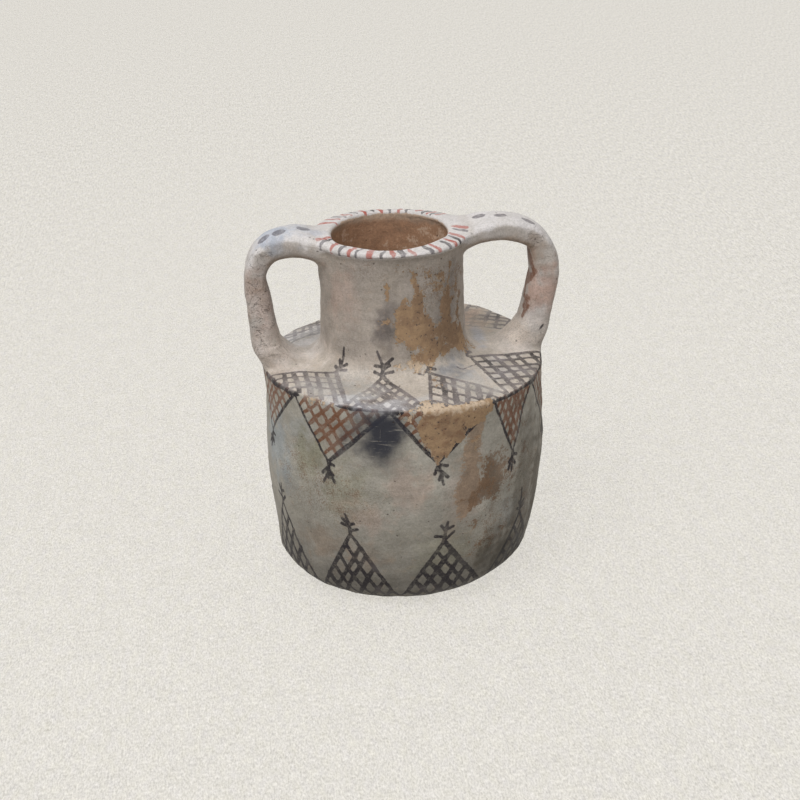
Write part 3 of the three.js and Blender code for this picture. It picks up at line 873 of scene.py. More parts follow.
# Radii in mm at which the sprigs on the neck's foot and the stripes' outer and inner ends unroll
SPRIG_RADIUS, LIP_CHART_RADIUS, MOUTH_CHART_RADIUS = 52, 48, 42
# Runs between which the shoulder takes its triangles and the neck's foot its sprigs, and the height
# under which the triangles stay
SHOULDER_RUNS, SPRIG_RUNS, SHOULDER_TOP = (0.2, 60), (20, 75), 163
# The wall's two rows of triangles: seed, triangles, whether they hang, the hatching's paint, its
# number and width of strokes to each side and how far they run on, and what widens the outlines
WALL_ROWS = ((100, HANGING_TRIANGLES, True, "rust", (6, 2.6), 2, (0, 0)),
             (200, STANDING_TRIANGLES, False, "black", (5, 3.4), 6, (0.6, 0.4)))
# The run at which the wall's paint ends, and the one from which on the slip is scratched
WALL_END, SCRATCHES_FROM = 1.0, 5
# The shoulder's triangles: seed, how far the hatching runs on, and length and widths of the outlines
SHOULDER_SEED, SHOULDER_BEYOND, OUTLINE_LENGTH, OUTLINE_WIDTHS = 300, 16, 1.15, (2.5, 3.1)
# The black line under the shoulder's edge: place, half its width, unevenness and loss, in mm
EDGE_PLACE, EDGE_HALF, EDGE_UNEVEN, EDGE_LOSS = 0.9, 1.15, 0.35, 4
# The lip's stripes: seed, where they start and end inwards of its edge, and how far the lip's paint
# reaches down in run and in height, and outwards
STRIPE_SEED, STRIPE_STARTS, STRIPE_ENDS, LIP_REACH = 400, (-0.3, 1.2), (9.5, 12), (8, 2.4, 12)
# The height in mm over which the handles take their dabs
BAR_TOP = 232


def brushed(random, start, end, width, bow=0.5):
    """One brush stroke: a line that bows by a sine and wavers, thinner at both ends."""
    start, end = np.asarray(start, float), np.asarray(end, float)
    points = len(STROKE_WIDTHS)
    t = np.linspace(0, 1, points)[:, None]
    along = end - start
    side = np.array([-along[1], along[0]]) / max(np.linalg.norm(along), 1e-6)
    waver = random.normal(0, WAVER, (points, 1)) + bow * random.normal() * np.sin(np.pi * t)
    widths = width * random.uniform(0.85, 1.15, points) * STROKE_WIDTHS
    return start + along * t + side * waver, widths


def hatching(random, apex, left, right, beside_left, beside_right, beyond=0.0):
    """Two families of strokes in a triangle, each parallel to one of its slanted sides, given as
    the number of strokes and their width. They run on past the base by a length."""
    apex, left, right = (np.asarray(point, float) for point in (apex, left, right))
    strokes = []
    for (lines, width), one, other in ((beside_left, left, right), (beside_right, right, left)):
        for i in range(lines):
            t = (i + 1 + random.uniform(-0.15, 0.15, 2)) / (lines + 1)
            start = apex + (other - apex) * t[0]
            end = one + (other - one) * t[1]
            end = end + (end - start) / np.linalg.norm(end - start) * beyond
            strokes.append(brushed(random, start, end, width * random.uniform(0.85, 1.15)))
    return strokes


def sprig(random, form, root, upwards=1):
    """The strokes of a sprig from its root: a stem and its twigs."""
    strokes = []
    for number, line in enumerate(SPRIGS[form]):
        path = np.array(root) + np.array(line, float) * (1, upwards)
        path = path + random.normal(0, SPRIG_WAVER, path.shape)
        first, last = TWIG_WIDTHS if number else STEM_WIDTHS
        strokes.append((path, np.linspace(first, last, len(path))))
    return strokes


def between(value, low, high):
    """True where a value lies between two others."""
    return (value > low) & (value < high)


def within(chart, corners, margin):
    """True where a chart lies in the box round some corners, grown by a margin."""
    return np.all(between(chart, corners.min(axis=0) - margin, corners.max(axis=0) + margin), axis=-1)


def lay(field, chart, strokes, mask=None):
    """Lowers a field to each stroke's signed distance: distance to its line, less half its width."""
    for path, widths in strokes:
        near = within(chart, path, STROKE_MARGIN)
        if mask is not None:
            near &= np.broadcast_to(mask, near.shape)
        spots = chart[near]
        if not len(spots):
            continue
        best = field[near]
        for start, end, wide, narrow in zip(path[:-1], path[1:], widths[:-1], widths[1:]):
            along = end - start
            t = np.clip((spots - start) @ along / max(along @ along, 1e-9), 0, 1)
            away = np.linalg.norm(spots - start - t[:, None] * along, axis=1)
            best = np.minimum(best, away - (wide + (narrow - wide) * t) / 2)
        field[near] = best


def outline_distance(spots, corners):
    """Distance to a closed outline, negative inside it by the even-odd rule."""
    corners = np.asarray(corners, float)
    best, inside = np.full(len(spots), 1e3), np.zeros(len(spots), bool)
    for start, end in zip(corners, np.roll(corners, -1, axis=0)):
        along = end - start
        t = np.clip((spots - start) @ along / (along @ along), 0, 1)
        best = np.minimum(best, np.linalg.norm(spots - start - t[:, None] * along, axis=1))
        level = (spots[:, 1] - start[1]) / (along[1] or 1e-9)
        inside ^= ((start[1] > spots[:, 1]) != (end[1] > spots[:, 1])) & (
            spots[:, 0] < start[0] + level * along[0])
    return np.where(inside, -best, best)


def turn_from(angle, degrees):
    """Angles counted from a direction, between -pi and pi."""
    return (angle - np.radians(degrees) + np.pi) % (2 * np.pi) - np.pi


def place_lost(angle):
    """1 where the black line along the shoulder's edge is lost, 0 where it is kept."""
    degrees = np.degrees(angle)
    lost = np.zeros(angle.shape)
    for start, end, soft in LOST_EDGE:
        lost = np.maximum(lost, smoothstep(degrees, start - soft, start + soft)
                          * falling(degrees, end - soft, end + soft))
    return lost


def painting(points, normals, run, skin, lift, on_strap):
    """The three paint fields. The wall is unrolled round its radius, the shoulder is seen from
    above, and the sprigs on the neck's foot and the stripes on the lip are unrolled there."""
    s, spans = skin.s, skin.spans
    black, rust, red = (np.full(run.shape, FAR) for _ in range(3))
    paints = {"black": black, "rust": rust, "red": red}
    angle = angle_round(points)
    height = points[..., 2]
    heel_run = float(np.interp(s.heel_height, skin.line[spans["wall_out"], 1],
                               skin.run[spans["wall_out"]]))
    outside = run < skin.run[spans["lip"][-1]]
    for scratch in SCRATCHES:
        lay(black, points, [(np.array(scratch), np.linspace(1.6, 0.9, len(scratch)))],
            run > SCRATCHES_FROM)
    climb = np.where(run > heel_run, height, s.heel_height + run - heel_run)
    on_skin = lift < ON_SKIN

    def edge_height(degrees):
        return s.shoulder_height - 1 + s.shoulder_dip * np.cos(
            2 * (np.radians(degrees) - s.dip_direction))

    # A hanging triangle is hatched in red-brown, and its outline is drawn down to the apex. A
    # standing one is hatched in black, and its outline is drawn down from the apex
    wall = outside & (run < WALL_END) & on_skin
    for seed, triangles, hangs, paint, lines, beyond, wider in WALL_ROWS:
        for number, (left, middle, tip, right, form, *widths) in enumerate(triangles):
            random = np.random.default_rng(seed + number)
            chart = np.stack([s.belly_radius * turn_from(angle, middle), climb], -1)
            apex = (0, tip)
            corners = [(s.belly_radius * np.radians(side - middle),
                        edge_height(side) if hangs else HEEL_REACH) for side in (left, right)]
            strokes = hatching(random, apex, *corners, lines, lines, beyond)
            lay(paints[paint], chart, strokes, wall)
            for corner, width, more in zip(corners, widths, wider):
                start, end = (corner, apex) if hangs else (apex, corner)
                lay(black, chart, [brushed(random, start, end, width + more)], wall)
            lay(black, chart, sprig(random, form, apex, -1 if hangs else 1), wall)
    edge = (np.abs(run + EDGE_PLACE) - EDGE_HALF - EDGE_UNEVEN * lumps(points, 14, 31)
            + EDGE_LOSS * place_lost(angle))
    black[:] = np.where(outside & on_skin, np.minimum(black, edge), black)

    plan = points[..., :2]
    flat = outside & between(run, *SHOULDER_RUNS) & (height < SHOULDER_TOP) & on_skin
    around = angle_round(points, s.neck_shift[0])
    for number, (apex, left, right, beside_left, beside_right, form) in enumerate(
            SHOULDER_TRIANGLES):
        random = np.random.default_rng(SHOULDER_SEED + number)
        lay(black, plan, hatching(random, apex, left, right, beside_left, beside_right,
                                  SHOULDER_BEYOND), flat)
        for corner, width in zip((left, right), OUTLINE_WIDTHS):
            end = np.array(apex) + (np.array(corner) - np.array(apex)) * OUTLINE_LENGTH
            lay(black, plan, [brushed(random, apex, end, width)], flat)
        away = np.hypot(apex[0] - s.neck_shift[0], apex[1])
        foot = skin.run[spans["neck_out"][0]] + (s.neck_foot_radius - away)
        degrees = np.degrees(np.arctan2(apex[1], apex[0] - s.neck_shift[0]))
        chart = np.stack([SPRIG_RADIUS * turn_from(around, degrees), run - foot], -1)
        lay(black, chart, sprig(random, form, (0, 0)), outside & on_skin & between(run, *SPRIG_RUNS))

    lip_radius = s.neck_radius + s.lip_overhang
    around = angle_round(points, s.lip_shift[0])
    inwards = lip_radius - np.hypot(points[..., 0] - s.lip_shift[0], points[..., 1])
    below, under, beyond = LIP_REACH
    lip = ((run > skin.lip_edge - below) & (height > s.lip_height - s.lip_slope - under)
           & (inwards > -beyond))
    random = np.random.default_rng(STRIPE_SEED)
    for paint, inner, outer, width in LIP_STRIPES:
        chart = np.stack([LIP_CHART_RADIUS * turn_from(around, outer), inwards], -1)
        start, end = random.uniform(*STRIPE_STARTS), random.uniform(*STRIPE_ENDS)
        aside = MOUTH_CHART_RADIUS * np.radians(inner - outer)
        stroke = brushed(random, (0, start), (aside, end), width, 0.3)
        lay(paints[paint], chart, [stroke], lip)

    if on_strap:
        for (x, y), long, wide in STRAP_DABS:
            path = np.array([(x - (long - wide) / 2 - 0.1, y), (x + (long - wide) / 2 + 0.1, y)])
            lay(black, plan, [(path, np.array([wide, wide * 0.92]))], height > BAR_TOP)
        squeeze = np.array([MARK_SQUEEZE, 1])
        face = points[..., 1:] * squeeze
        inner = (normals[..., 0] < -0.5) & (points[..., 0] > 0)
        for path, wide in STRAP_MARKS:
            lay(rust, face, [(np.array(path) * squeeze, np.linspace(wide, 0.8 * wide, len(path)))],
                inner)
        spot, reach = STRAP_SPOT
        rust = np.maximum(rust, reach - np.linalg.norm(face - np.array(spot) * squeeze, axis=-1))
        lay(black, points, [(np.array(STRAP_DASH[0], float), np.full(2, STRAP_DASH[1]))])
    return black, rust, red


# Worn and stained places, by what they are and by their chart: how strong, how far the edge is
# spread, and an outline, in turn the angle in degrees and, on the wall, the height, else the length
# up from the shoulder's edge. A chip is clay with a film of slip. A kept place takes bare clay away
PLACES = {
    ("bare", "wall"): (
        (1.0, 2.5, -87, 154, -60, 154, -59, 147, -60, 143.5, -62, 142, -63, 138, -68, 136, -71, 131,
         -74, 126, -77.7, 119, -81, 115.7, -83.4, 114, -86.5, 123.4, -88.7, 129.5, -91, 135.4, -91.3, 141,
         -89.7, 146.5),
        (0.55, 4, -74, 132, -67, 135, -64, 124, -66, 112, -70, 116),
        (0.9, 5, 76, 156, 100, 158, 103, 132, 90, 124, 78, 136),
        (0.7, 5, 126, 128, 140, 132, 139, 106, 128, 100),
        (0.55, 7, 30, 78, 52, 82, 54, 46, 34, 44)),
    ("chip", "wall"): (
        (0.46, 4, -100, 152, -89, 153, -91, 144, -94, 139, -97, 146),
        (0.46, 3, -142, 156, -124, 156, -123, 151, -139, 151)),
    ("kept", "wall"): (
        (1.0, 0.8, -79.6, 117.6, -76.2, 127.4, -74.6, 126, -78, 116.4),
        (1.0, 0.8, -72.4, 131.4, -70.8, 135.6, -69.4, 134.4, -71, 129.6),
        (0.9, 1, -83, 115.5, -81, 119, -80, 117, -82, 114)),
    ("chip", "shoulder"): (
        (0.64, 4.5, -96, -1, -93, 5, -88, 10, -82, 10, -78, 7, -73, 3, -69, 4, -64, 1.5, -58, 0.5,
         -59, -2, -74, -3),),
    ("bare", "shoulder"): (
        (0.4, 4, -82, 20, -77, 39, -71, 38, -73, 18),),
    ("bare", "neck"): (
        (1.0, 4.4, -99, 86, -95, 91, -89, 89, -86, 93, -84, 98, -86, 104, -86, 111, -81, 111, -80, 103,
         -76, 94, -77, 84, -69, 76, -67, 72, -61, 74, -60, 87, -56, 91, -51, 103, -50, 112, -47, 111,
         -48, 89, -41, 86, -48, 79, -48, 73, -39, 66, -29, 65, -21, 53, -22, 46, -32, 45, -44, 50,
         -50, 53, -58, 49, -65, 50, -72, 44, -83, 45, -90, 48, -89, 52, -87, 57, -93, 63, -99, 63,
         -101, 71),
        (0.75, 2, -107, 105, -104, 106, -102, 101, -103, 91, -107, 91),
        (0.6, 3, -111, 79, -105, 81, -102, 79, -104, 76, -112, 76),
        (0.4, 5, -110, 115, -82, 117, -70, 112, -70, 98, -84, 104, -95, 110, -106, 108),
        (0.55, 4, -72, 110, -51, 108, -53, 94, -60, 90, -68, 97),
        (0.6, 2, -96, 94, -87, 96, -86, 92, -95, 90),
        (0.5, 3, -46, 107, -37, 105, -37, 86, -46, 90),
        (0.5, 6, -48, 86, -34, 84, -30, 66, -46, 70),
        (0.5, 4, -36, 58, -8, 46, -14, 36, -36, 42),
        (0.6, 6, 108, 84, 140, 90, 146, 56, 118, 52)),
    ("chip", "neck"): (
        (0.6, 4, -101, 49, -89, 53, -72, 46, -77, 41, -97, 44),),
    ("kept", "neck"): (
        (0.55, 4, -66, 66, -54, 64, -48, 54, -60, 54),
        (0.5, 4, -90, 64, -80, 62, -70, 54, -86, 54),
        (0.6, 3, -85, 49, -78, 48, -75, 43, -81, 41)),
    ("stain", "wall"): (
        (1.0, 4, -71, 142, -63, 142, -63, 136, -65, 128, -64, 122, -66.5, 118, -65.6, 112, -66.6, 107,
         -65.9, 100, -64, 92, -66, 85, -68, 78, -71, 75, -74.6, 70, -76, 77, -76.5, 94, -74.6, 102,
         -73, 110, -72.7, 121, -71, 128),
        (0.6, 4, -68, 116, -62, 114, -58, 106, -60, 84, -66, 80, -66, 100),
        (0.5, 8, 60, 100, 82, 96, 80, 60, 62, 66)),
    ("brown", "wall"): (
        (1.0, 7, -63, 110, -60, 113, -57, 107, -56, 100, -54, 92, -56, 88, -57, 81, -60, 80, -64, 80,
         -70, 77, -74, 85, -70, 88, -66, 92, -64, 104),
        (0.6, 4, -75, 70, -66, 70, -66, 61, -72, 63),
        (0.6, 2, -53, 88, -50, 89, -49, 84, -53, 84),
        (0.7, 3, -42, 108, -38, 109, -37, 102, -41, 102),
        (0.4, 6, -42, 124, -34, 126, -33, 92, -38, 90),
        (0.5, 7, -64, 118, -54, 118, -46, 108, -44, 88, -52, 76, -58, 96),
        (0.35, 10, -74, 58, -46, 62, -44, 40, -70, 38),
        (0.6, 9, 150, 120, 170, 116, 166, 70, 148, 80),
        (0.5, 9, 64, 92, 90, 86, 84, 50, 66, 56)),
    ("brown", "neck"): (
        (0.35, 6, -44, 110, -24, 110, -24, 60, -44, 60),),
    ("soot", "wall"): (
        (1.0, 9, -112, 150, -108, 149, -103, 152, -99, 147, -96.6, 139, -97, 132, -99, 125, -101.6, 117,
         -106, 115, -110, 121, -114, 124, -115, 130, -110, 136),
        (0.55, 7, -116, 152, -111, 152, -110, 143, -110, 134, -114, 131, -118, 130, -121, 124, -123, 126,
         -120, 137, -117, 139),
        (0.3, 9, -114, 122, -98, 120, -98, 108, -106, 106, -112, 111),
        (0.8, 10, 54, 134, 66, 138, 68, 100, 56, 96),
        (0.7, 12, 140, 76, 156, 80, 154, 44, 142, 46)),
    ("grime", "wall"): (
        (1.0, 14, -152, 120, -136, 116, -116, 104, -104, 94, -106, 80, -124, 66, -146, 70, -158, 96),
        (0.9, 12, -60, 98, -36, 112, -20, 80, -40, 40, -70, 36, -74, 50),
        (0.7, 14, 40, 130, 90, 126, 96, 60, 50, 50),
        (0.5, 14, 110, 96, 176, 100, 176, 30, 116, 30)),
    ("grime", "neck"): (
        (0.8, 8, -84, 116, -20, 120, -20, 60, -60, 50, -78, 84),
        (0.4, 6, -170, 122, -84, 122, -84, 108, -170, 108)),
    ("grime", "shoulder"): (
        (0.5, 8, -150, 40, -100, 40, -100, 24, -150, 24),)}
# How far an edge fades to each side, as a share of its spread
EDGE_SPREAD = 1.2
# Charts of the places: radius, lowest and highest run
CHARTS = {"wall": (96, -400, 2), "shoulder": (88, -12, 44), "neck": (50, 12, 130)}
# Tints: which colour, middle and reach in mm, strength. The bluish white on the handles' tops is painted
# sky light, and the white film at the shoulder's front edge is partly a painted highlight.
TINTS = (
    ("grey_film", (-90, -32, 112), (12, 24, 26), 0.85), ("grey_film", (-84, -44, 90), (12, 16, 18), 0.4),
    ("grey_film", (-74, -60, 128), (14, 14, 12), 0.4), ("olive_film", (-68, -64, 112), (14, 14, 18), 0.8),
    ("olive_film", (-50, -82, 92), (26, 12, 26), 0.5), ("olive_film", (20, -92, 46), (26, 12, 20), 0.4),
    ("rust_stain", (-62, -66, 48), (20, 20, 16), 0.35), ("pink_stain", (-36, -86, 76), (20, 12, 14), 0.3),
    ("rust_stain", (-56, -76, 136), (10, 10, 14), 0.45), ("rust_stain", (-52, -80, 146), (5, 5, 5), 0.7),
    ("pink_stain", (-8, -95, 100), (18, 10, 18), 0.3), ("pink_stain", (-41, -30, 208), (14, 16, 20), 0.3),
    ("pink_stain", (-92, -12, 206), (14, 14, 20), 0.3),
    ("pink_stain", (-90, -14, 178), (14, 14, 12), 0.2), ("rust_stain", (-92, -16, 214), (8, 8, 12), 0.3),
    ("pink_stain", (94, -10, 190), (16, 10, 26), 0.7), ("pink_stain", (28, -90, 88), (20, 10, 30), 0.2),
    ("pink_stain", (-86, -20, 162), (16, 16, 12), 0.25), ("smoke", (-15, -46, 186), (8, 8, 13), 0.75),
    ("smoke", (-10, -48, 204), (8, 8, 12), 0.25), ("smoke", (24, -41, 192), (9, 10, 20), 0.45),
    ("smoke", (34, -34, 200), (8, 8, 24), 0.4), ("smoke", (-50, -78, 140), (10, 10, 8), 0.4),
    ("veil", (-50, -54, 157), (26, 22, 6), 0.6), ("veil", (-30, -68, 156), (14, 16, 6), 0.5),
    # White film along the shoulder's front edge, partly a painted highlight
    ("white_film", (-22, -87, 154), (28, 9, 6), 0.7), ("white_film", (-48, -76, 155), (16, 8, 5), 0.6),
    ("grey_slip", (30, -48, 158), (13, 12, 6), 0.9), ("grey_slip", (36, -34, 163), (8, 8, 5), 0.5),
    # The bluish white tints on the handles' tops are painted sky light
    ("veil", (40, -66, 154), (20, 14, 5), 0.5), ("cool_white", (-84, -2, 243), (14, 18, 9), 0.8),
    ("cool_white", (-62, 0, 245), (14, 14, 8), 0.5), ("lip_slip", (-74, 2, 163), (30, 36, 16), 0.7),
    ("lip_slip", (80, -6, 167), (30, 26, 17), 0.85), ("pale_clay", (82, -4, 166), (28, 22, 14), 0.45),
    ("pale_clay", (-74, -8, 162), (34, 34, 16), 0.2), ("lip_slip", (93, -12, 174), (12, 14, 12), 0.5),
    ("veil", (-66, 46, 157), (26, 34, 8), 0.7), ("lip_slip", (-66, 46, 157), (30, 36, 10), 0.8),
    ("veil", (54, 40, 157), (24, 36, 9), 0.95), ("pale_clay", (50, 42, 157), (30, 34, 9), 0.7),
    ("pink_stain", (46, 44, 157), (20, 24, 9), 0.4), ("smoke", (-14, -47, 196), (9, 9, 12), 0.5),
    # The bluish white strip by the right handle's foot is painted sky light too
    ("tan_stain", (90, -12, 224), (11, 11, 12), 0.4), ("cool_white", (57, 12, 158), (5, 22, 5), 0.5),
    ("lip_slip", (70, -48, 156), (22, 20, 5), 0.5), ("grey_film", (60, -74, 66), (8, 8, 14), 0.3),
    ("rust_stain", (-78, 30, 80), (16, 20, 26), 0.4), ("olive_film", (20, 92, 60), (26, 16, 30), 0.5),
    ("smoke", (86, 20, 70), (18, 20, 26), 0.4), ("grey_film", (-40, 86, 70), (22, 16, 30), 0.5),
    ("rust_stain", (-30, -78, 44), (18, 12, 12), 0.3))
# Painted shade over everything, the paint too: middle and reach in mm, strength
SHADES = (
    ((76, -60, 80), (20, 22, 56), 0.75), ((46, -82, 92), (9, 9, 18), 0.3),
    ((94, -14, 46), (14, 24, 56), 0.85), ((-78, -58, 70), (32, 36, 60), 0.1),
    ((66, -60, 22), (36, 36, 38), 1.0), ((92, -36, 62), (20, 26, 76), 1.0),
    ((36, -32, 200), (14, 14, 34), 0.15), ((-50, -78, 24), (40, 20, 12), 0.25),
    ((-80, -14, 234), (18, 8, 9), 0.25))
# Tints that cover the paint too, and how much of it
FILMS = {"white_film": 0.45, "veil": 0.75}


# Cracked places on the handles: middle and reach in mm, how ragged, seed
CRACKED = (((-93, -10, 196), (20, 20, 42), 0.3, 95), ((91, -12.8, 233), (8, 8, 8), 0.2, 96))


def nearness(points, middle, reach, ragged=0.3, seed=51, full=0.25, none=1.35):
    """1 near a place's middle and 0 beyond its reach, with a ragged edge: the distance as a share
    of the reach, with lumps added, falls off from full to none."""
    away = np.linalg.norm((points - np.array(middle)) / np.array(reach), axis=-1)
    away = away + ragged * (0.6 * lumps(points, 16, seed, 12) + 0.4 * lumps(points, 6, seed + 1, 12))
    return falling(away, full, none)


def worn_places(points, run, inside):
    """The fields of PLACES: each place counts fully inside its outline, by half on it."""
    angle = np.degrees(angle_round(points))
    fields = {name: np.zeros(angle.shape) for name in (
        "bare", "chip", "kept", "stain", "brown", "soot", "grime")}
    for (name, where), places in PLACES.items():
        radius, lowest, highest = CHARTS[where]
        degree = np.radians(radius)
        up = points[..., 2] if where == "wall" else run
        charted = ~inside & between(run, lowest, highest)
        for strength, soft, *outline in places:
            outline = np.array(outline, float).reshape(-1, 2)
            middle = outline[:, 0].mean()
            chart = np.stack([((angle - middle + 180) % 360 - 180) * degree, up], -1)
            corners = np.stack([(outline[:, 0] - middle) * degree, outline[:, 1]], 1)
            near = charted & within(chart, corners, 2 * soft)
            distance = outline_distance(chart[near], corners)
            value = strength * falling(distance, -EDGE_SPREAD * soft, EDGE_SPREAD * soft)
            fields[name][near] = np.maximum(fields[name][near], value)
    fields["bare"] = np.maximum(fields["bare"], fields["chip"]) * (1 - fields.pop("kept"))
    return fields


# Inside the mouth: where it starts beyond the crest and where it is plainly inside, in mm, and the
# pale film's two edges in degrees and its fading depth under the crest in mm
INSIDE_START, WELL_INSIDE = 3.2, 4
FILM_STARTS, FILM_ENDS, FILM_DEPTH = (-40, -10), (55, 95), (18, 46)
# Where one look goes over into the next: runs of the shoulder and of the neck, heights of the dirt and
# painted shade low on the wall, and runs from the lip's edge of its slip and of its thinner paint
SHOULDER_STARTS, NECK_STARTS, DIRT_AND_SHADE_HEIGHTS = (-1, 0.5), (36, 58), (4, 92)
LIP_STARTS, LIP_FADE = (-3.6, -1.6), (-5, -2)
# The same on the straps: distance from the skin, how far a face looks down or up, and heights
STRAP_STARTS, FACING_DOWN, FACING_UP = (0.5, 8), (-0.8, 0.1), (0.12, 0.5)
UPPER_STRAP, STRAP_TOP, STRAP_GRIME = (158, 190), (200, 236), (215, 235)
EVEN_TOP, BAR_FADE = (222, 238), (228, 236)


def dressing(points, normals, run, skin, colours, on_strap=False):
    """The fields that the materials read: paint distances, how well the paint has kept, worn and stained
    places, cracks and painted shade as numbers, and the slip's colour, which has some painted shade and
    painted light mixed into it."""
    s = skin.s
    height = points[..., 2]
    lift = np.zeros(run.shape)
    if on_strap:
        round_points = unsettled(points.reshape(-1, 3), s).reshape(points.shape)
        lift = np.linalg.norm(points - skin.place(run, angle_round(round_points)), axis=-1)
    black, rust, red = painting(points, normals, run, skin, lift, on_strap)
    inwards = np.clip(run - skin.lip_crest - INSIDE_START, -FAR, FAR)
    inside = inwards > WELL_INSIDE
    places = worn_places(points, run, inside)
    degrees = np.degrees(angle_round(points))
    filmed = smoothstep(degrees, *FILM_STARTS) * falling(degrees, *FILM_ENDS)
    filmed = filmed * falling(run - skin.lip_crest, *FILM_DEPTH)
    places["stain"] = np.where(inside, filmed, places["stain"])
    slip = np.ones(run.shape + (3,)) * colours.wall_slip
    haze = np.zeros(run.shape)

    def tint(colour, share):
        nonlocal slip
        slip = slip + (colour - slip) * np.clip(share, 0, 1)[..., None]

    on_top = smoothstep(run, *SHOULDER_STARTS)
    neck = smoothstep(run, *NECK_STARTS)
    # Dirt low on the wall, darker towards the bottom, which also stands for painted shade there
    tint(colours.dirt_and_painted_shade, 0.9 * falling(height, *DIRT_AND_SHADE_HEIGHTS) * (1 - on_top))
    tint(colours.shoulder_slip, on_top)
    tint(colours.neck_slip, neck)
    tint(colours.lip_slip, smoothstep(run - skin.lip_edge, *LIP_STARTS))
    if on_strap:
        free = smoothstep(lift, *STRAP_STARTS)
        facing = normals[..., 2] + 0.1 * lumps(points, 12, 97)
        upper = smoothstep(height, *UPPER_STRAP)
        tint(colours.shoulder_slip, free)
        tint(colours.neck_slip, free * upper)
        tint(colours.lip_slip, 0.35 * free * upper)
        # Faces that look down take the tan colour: partly a stain, partly painted shade under the bar
        tint(colours.tan_stain, 0.6 * free * upper * falling(facing, *FACING_DOWN))
        tint(colours.lip_slip, free * smoothstep(facing, *FACING_UP) * smoothstep(height, *STRAP_TOP))
        places["grime"] = np.maximum(places["grime"], 0.5 * free * falling(height, *STRAP_GRIME))
    for name, middle, reach, strength in TINTS:
        share = strength * nearness(points, middle, reach)
        tint(getattr(colours, name), share)
        haze = np.maximum(haze, share * FILMS.get(name, 0))
    # Painted shade, laid over the slip and the paint alike
    shade = np.zeros(run.shape)
    for middle, reach, strength in SHADES:
        shade = np.maximum(shade, strength * nearness(points, middle, reach))
    uneven = (1.4 if on_strap else 1.2) - smoothstep(height, *EVEN_TOP)
    mottle = 1 + uneven * (0.045 * lumps(points, 34, 61) + 0.035 * lumps(points, 13, 63))
    slip = np.clip(slip * mottle[..., None], 0, 1)

    fade = 0.95 - 0.2 * on_top * (1 - neck) - 0.8 * haze + 0.07 * lumps(points, 20, 91)
    fade = fade - 0.18 * smoothstep(run - skin.lip_edge, *LIP_FADE)
    crack = np.zeros(run.shape)
    if on_strap:
        fade = 0.93 - 0.24 * smoothstep(height, *BAR_FADE)
        for place in CRACKED:
            crack = np.maximum(crack, nearness(points, *place, full=0.5, none=1.2))
    numbers = {"black": black, "rust": rust, "red": red, "fade": np.clip(fade, 0, 1),
               "crack": crack, "inwards": inwards, "shade": shade, **places}
    return numbers, {"slip": slip}


# Materials

class Wiring:
    """Shorthand for placing and joining nodes in one tree."""

    def __init__(self, tree):
        self.tree = tree

    def node(self, kind, sockets=None, **settings):
        made = self.tree.nodes.new(kind)
        for key, value in settings.items():
            setattr(made, key, value)
        for key, value in (sockets or {}).items():
            self.give(made.inputs[key], value)
        return made

    def give(self, socket, value):
        if isinstance(value, bpy.types.NodeSocket):
            self.tree.links.new(value, socket)
        else:
            socket.default_value = value

    def math(self, operation, *values, clamp=False):
        return self.node("ShaderNodeMath", dict(enumerate(values)), operation=operation,
                         use_clamp=clamp).outputs[0]

    def add(self, *values):
        """The sum of values. A pair is a noise value and how much of it is added, about 0."""
        values = [self.about(*value) if isinstance(value, tuple) else value for value in values]
        total = values[0]
        for value in values[1:]:
            total = self.math("ADD", total, value)
        return total

    def times(self, first, second, clamp=False):
        return self.math("MULTIPLY", first, second, clamp=clamp)

    def minus(self, first, second):
        return self.math("SUBTRACT", first, second)

    def greater(self, first, second):
        return self.math("MAXIMUM", first, second)

    def mix(self, factor, first, second, blend="MIX"):
        made = self.node("ShaderNodeMix", data_type="RGBA", blend_type=blend)
        for index, value in ((0, factor), (6, first), (7, second)):
            self.give(made.inputs[index], value)
        return made.outputs[2]

    def tinted(self, colour, red, green, blue):
        """A colour times three values."""
        by = self.node("ShaderNodeCombineColor", {"Red": red, "Green": green, "Blue": blue})
        return self.mix(1, colour, by.outputs[0], "MULTIPLY")

    def dimmed(self, colour, value):
        return self.tinted(colour, value, value, value)

    def noise(self, place, scale, detail=3.0, roughness=0.55, twist=0.0):
        return self.node("ShaderNodeTexNoise", {
            "Vector": place, "Scale": scale, "Detail": detail, "Roughness": roughness,
            "Distortion": twist}).outputs["Fac"]

    def step(self, value, low, high):
        return self.node("ShaderNodeMapRange", {"Value": value, "From Min": low, "From Max": high},
                         interpolation_type="SMOOTHSTEP").outputs["Result"]

    def about(self, value, amount):
        """A noise value moved to lie about 0, times an amount."""
        return self.times(self.minus(value, 0.5), amount)

    def stretched(self, place, scale):
        return self.node("ShaderNodeMapping", {"Vector": place, "Scale": scale}).outputs[0]


FIELDS = ("black", "rust", "red", "fade", "bare", "chip", "stain", "brown", "soot", "grime",
          "crack", "inwards", "shade")
PAINT_COLOURS = ("bare_clay", "pale_clay", "dark_clay", "black_paint", "thin_paint", "rust_paint",
                 "red_paint", "soot_colour", "tan_stain", "brown_stain", "inside_clay", "inside_pale")
# What the painted shade takes from the colour under it, and the colour inside cracks and pits
PAINTED_SHADE_FILTER = (0.36, 0.34, 0.31, 1)
HOLLOW_COLOUR = (0.045, 0.03, 0.022, 1)


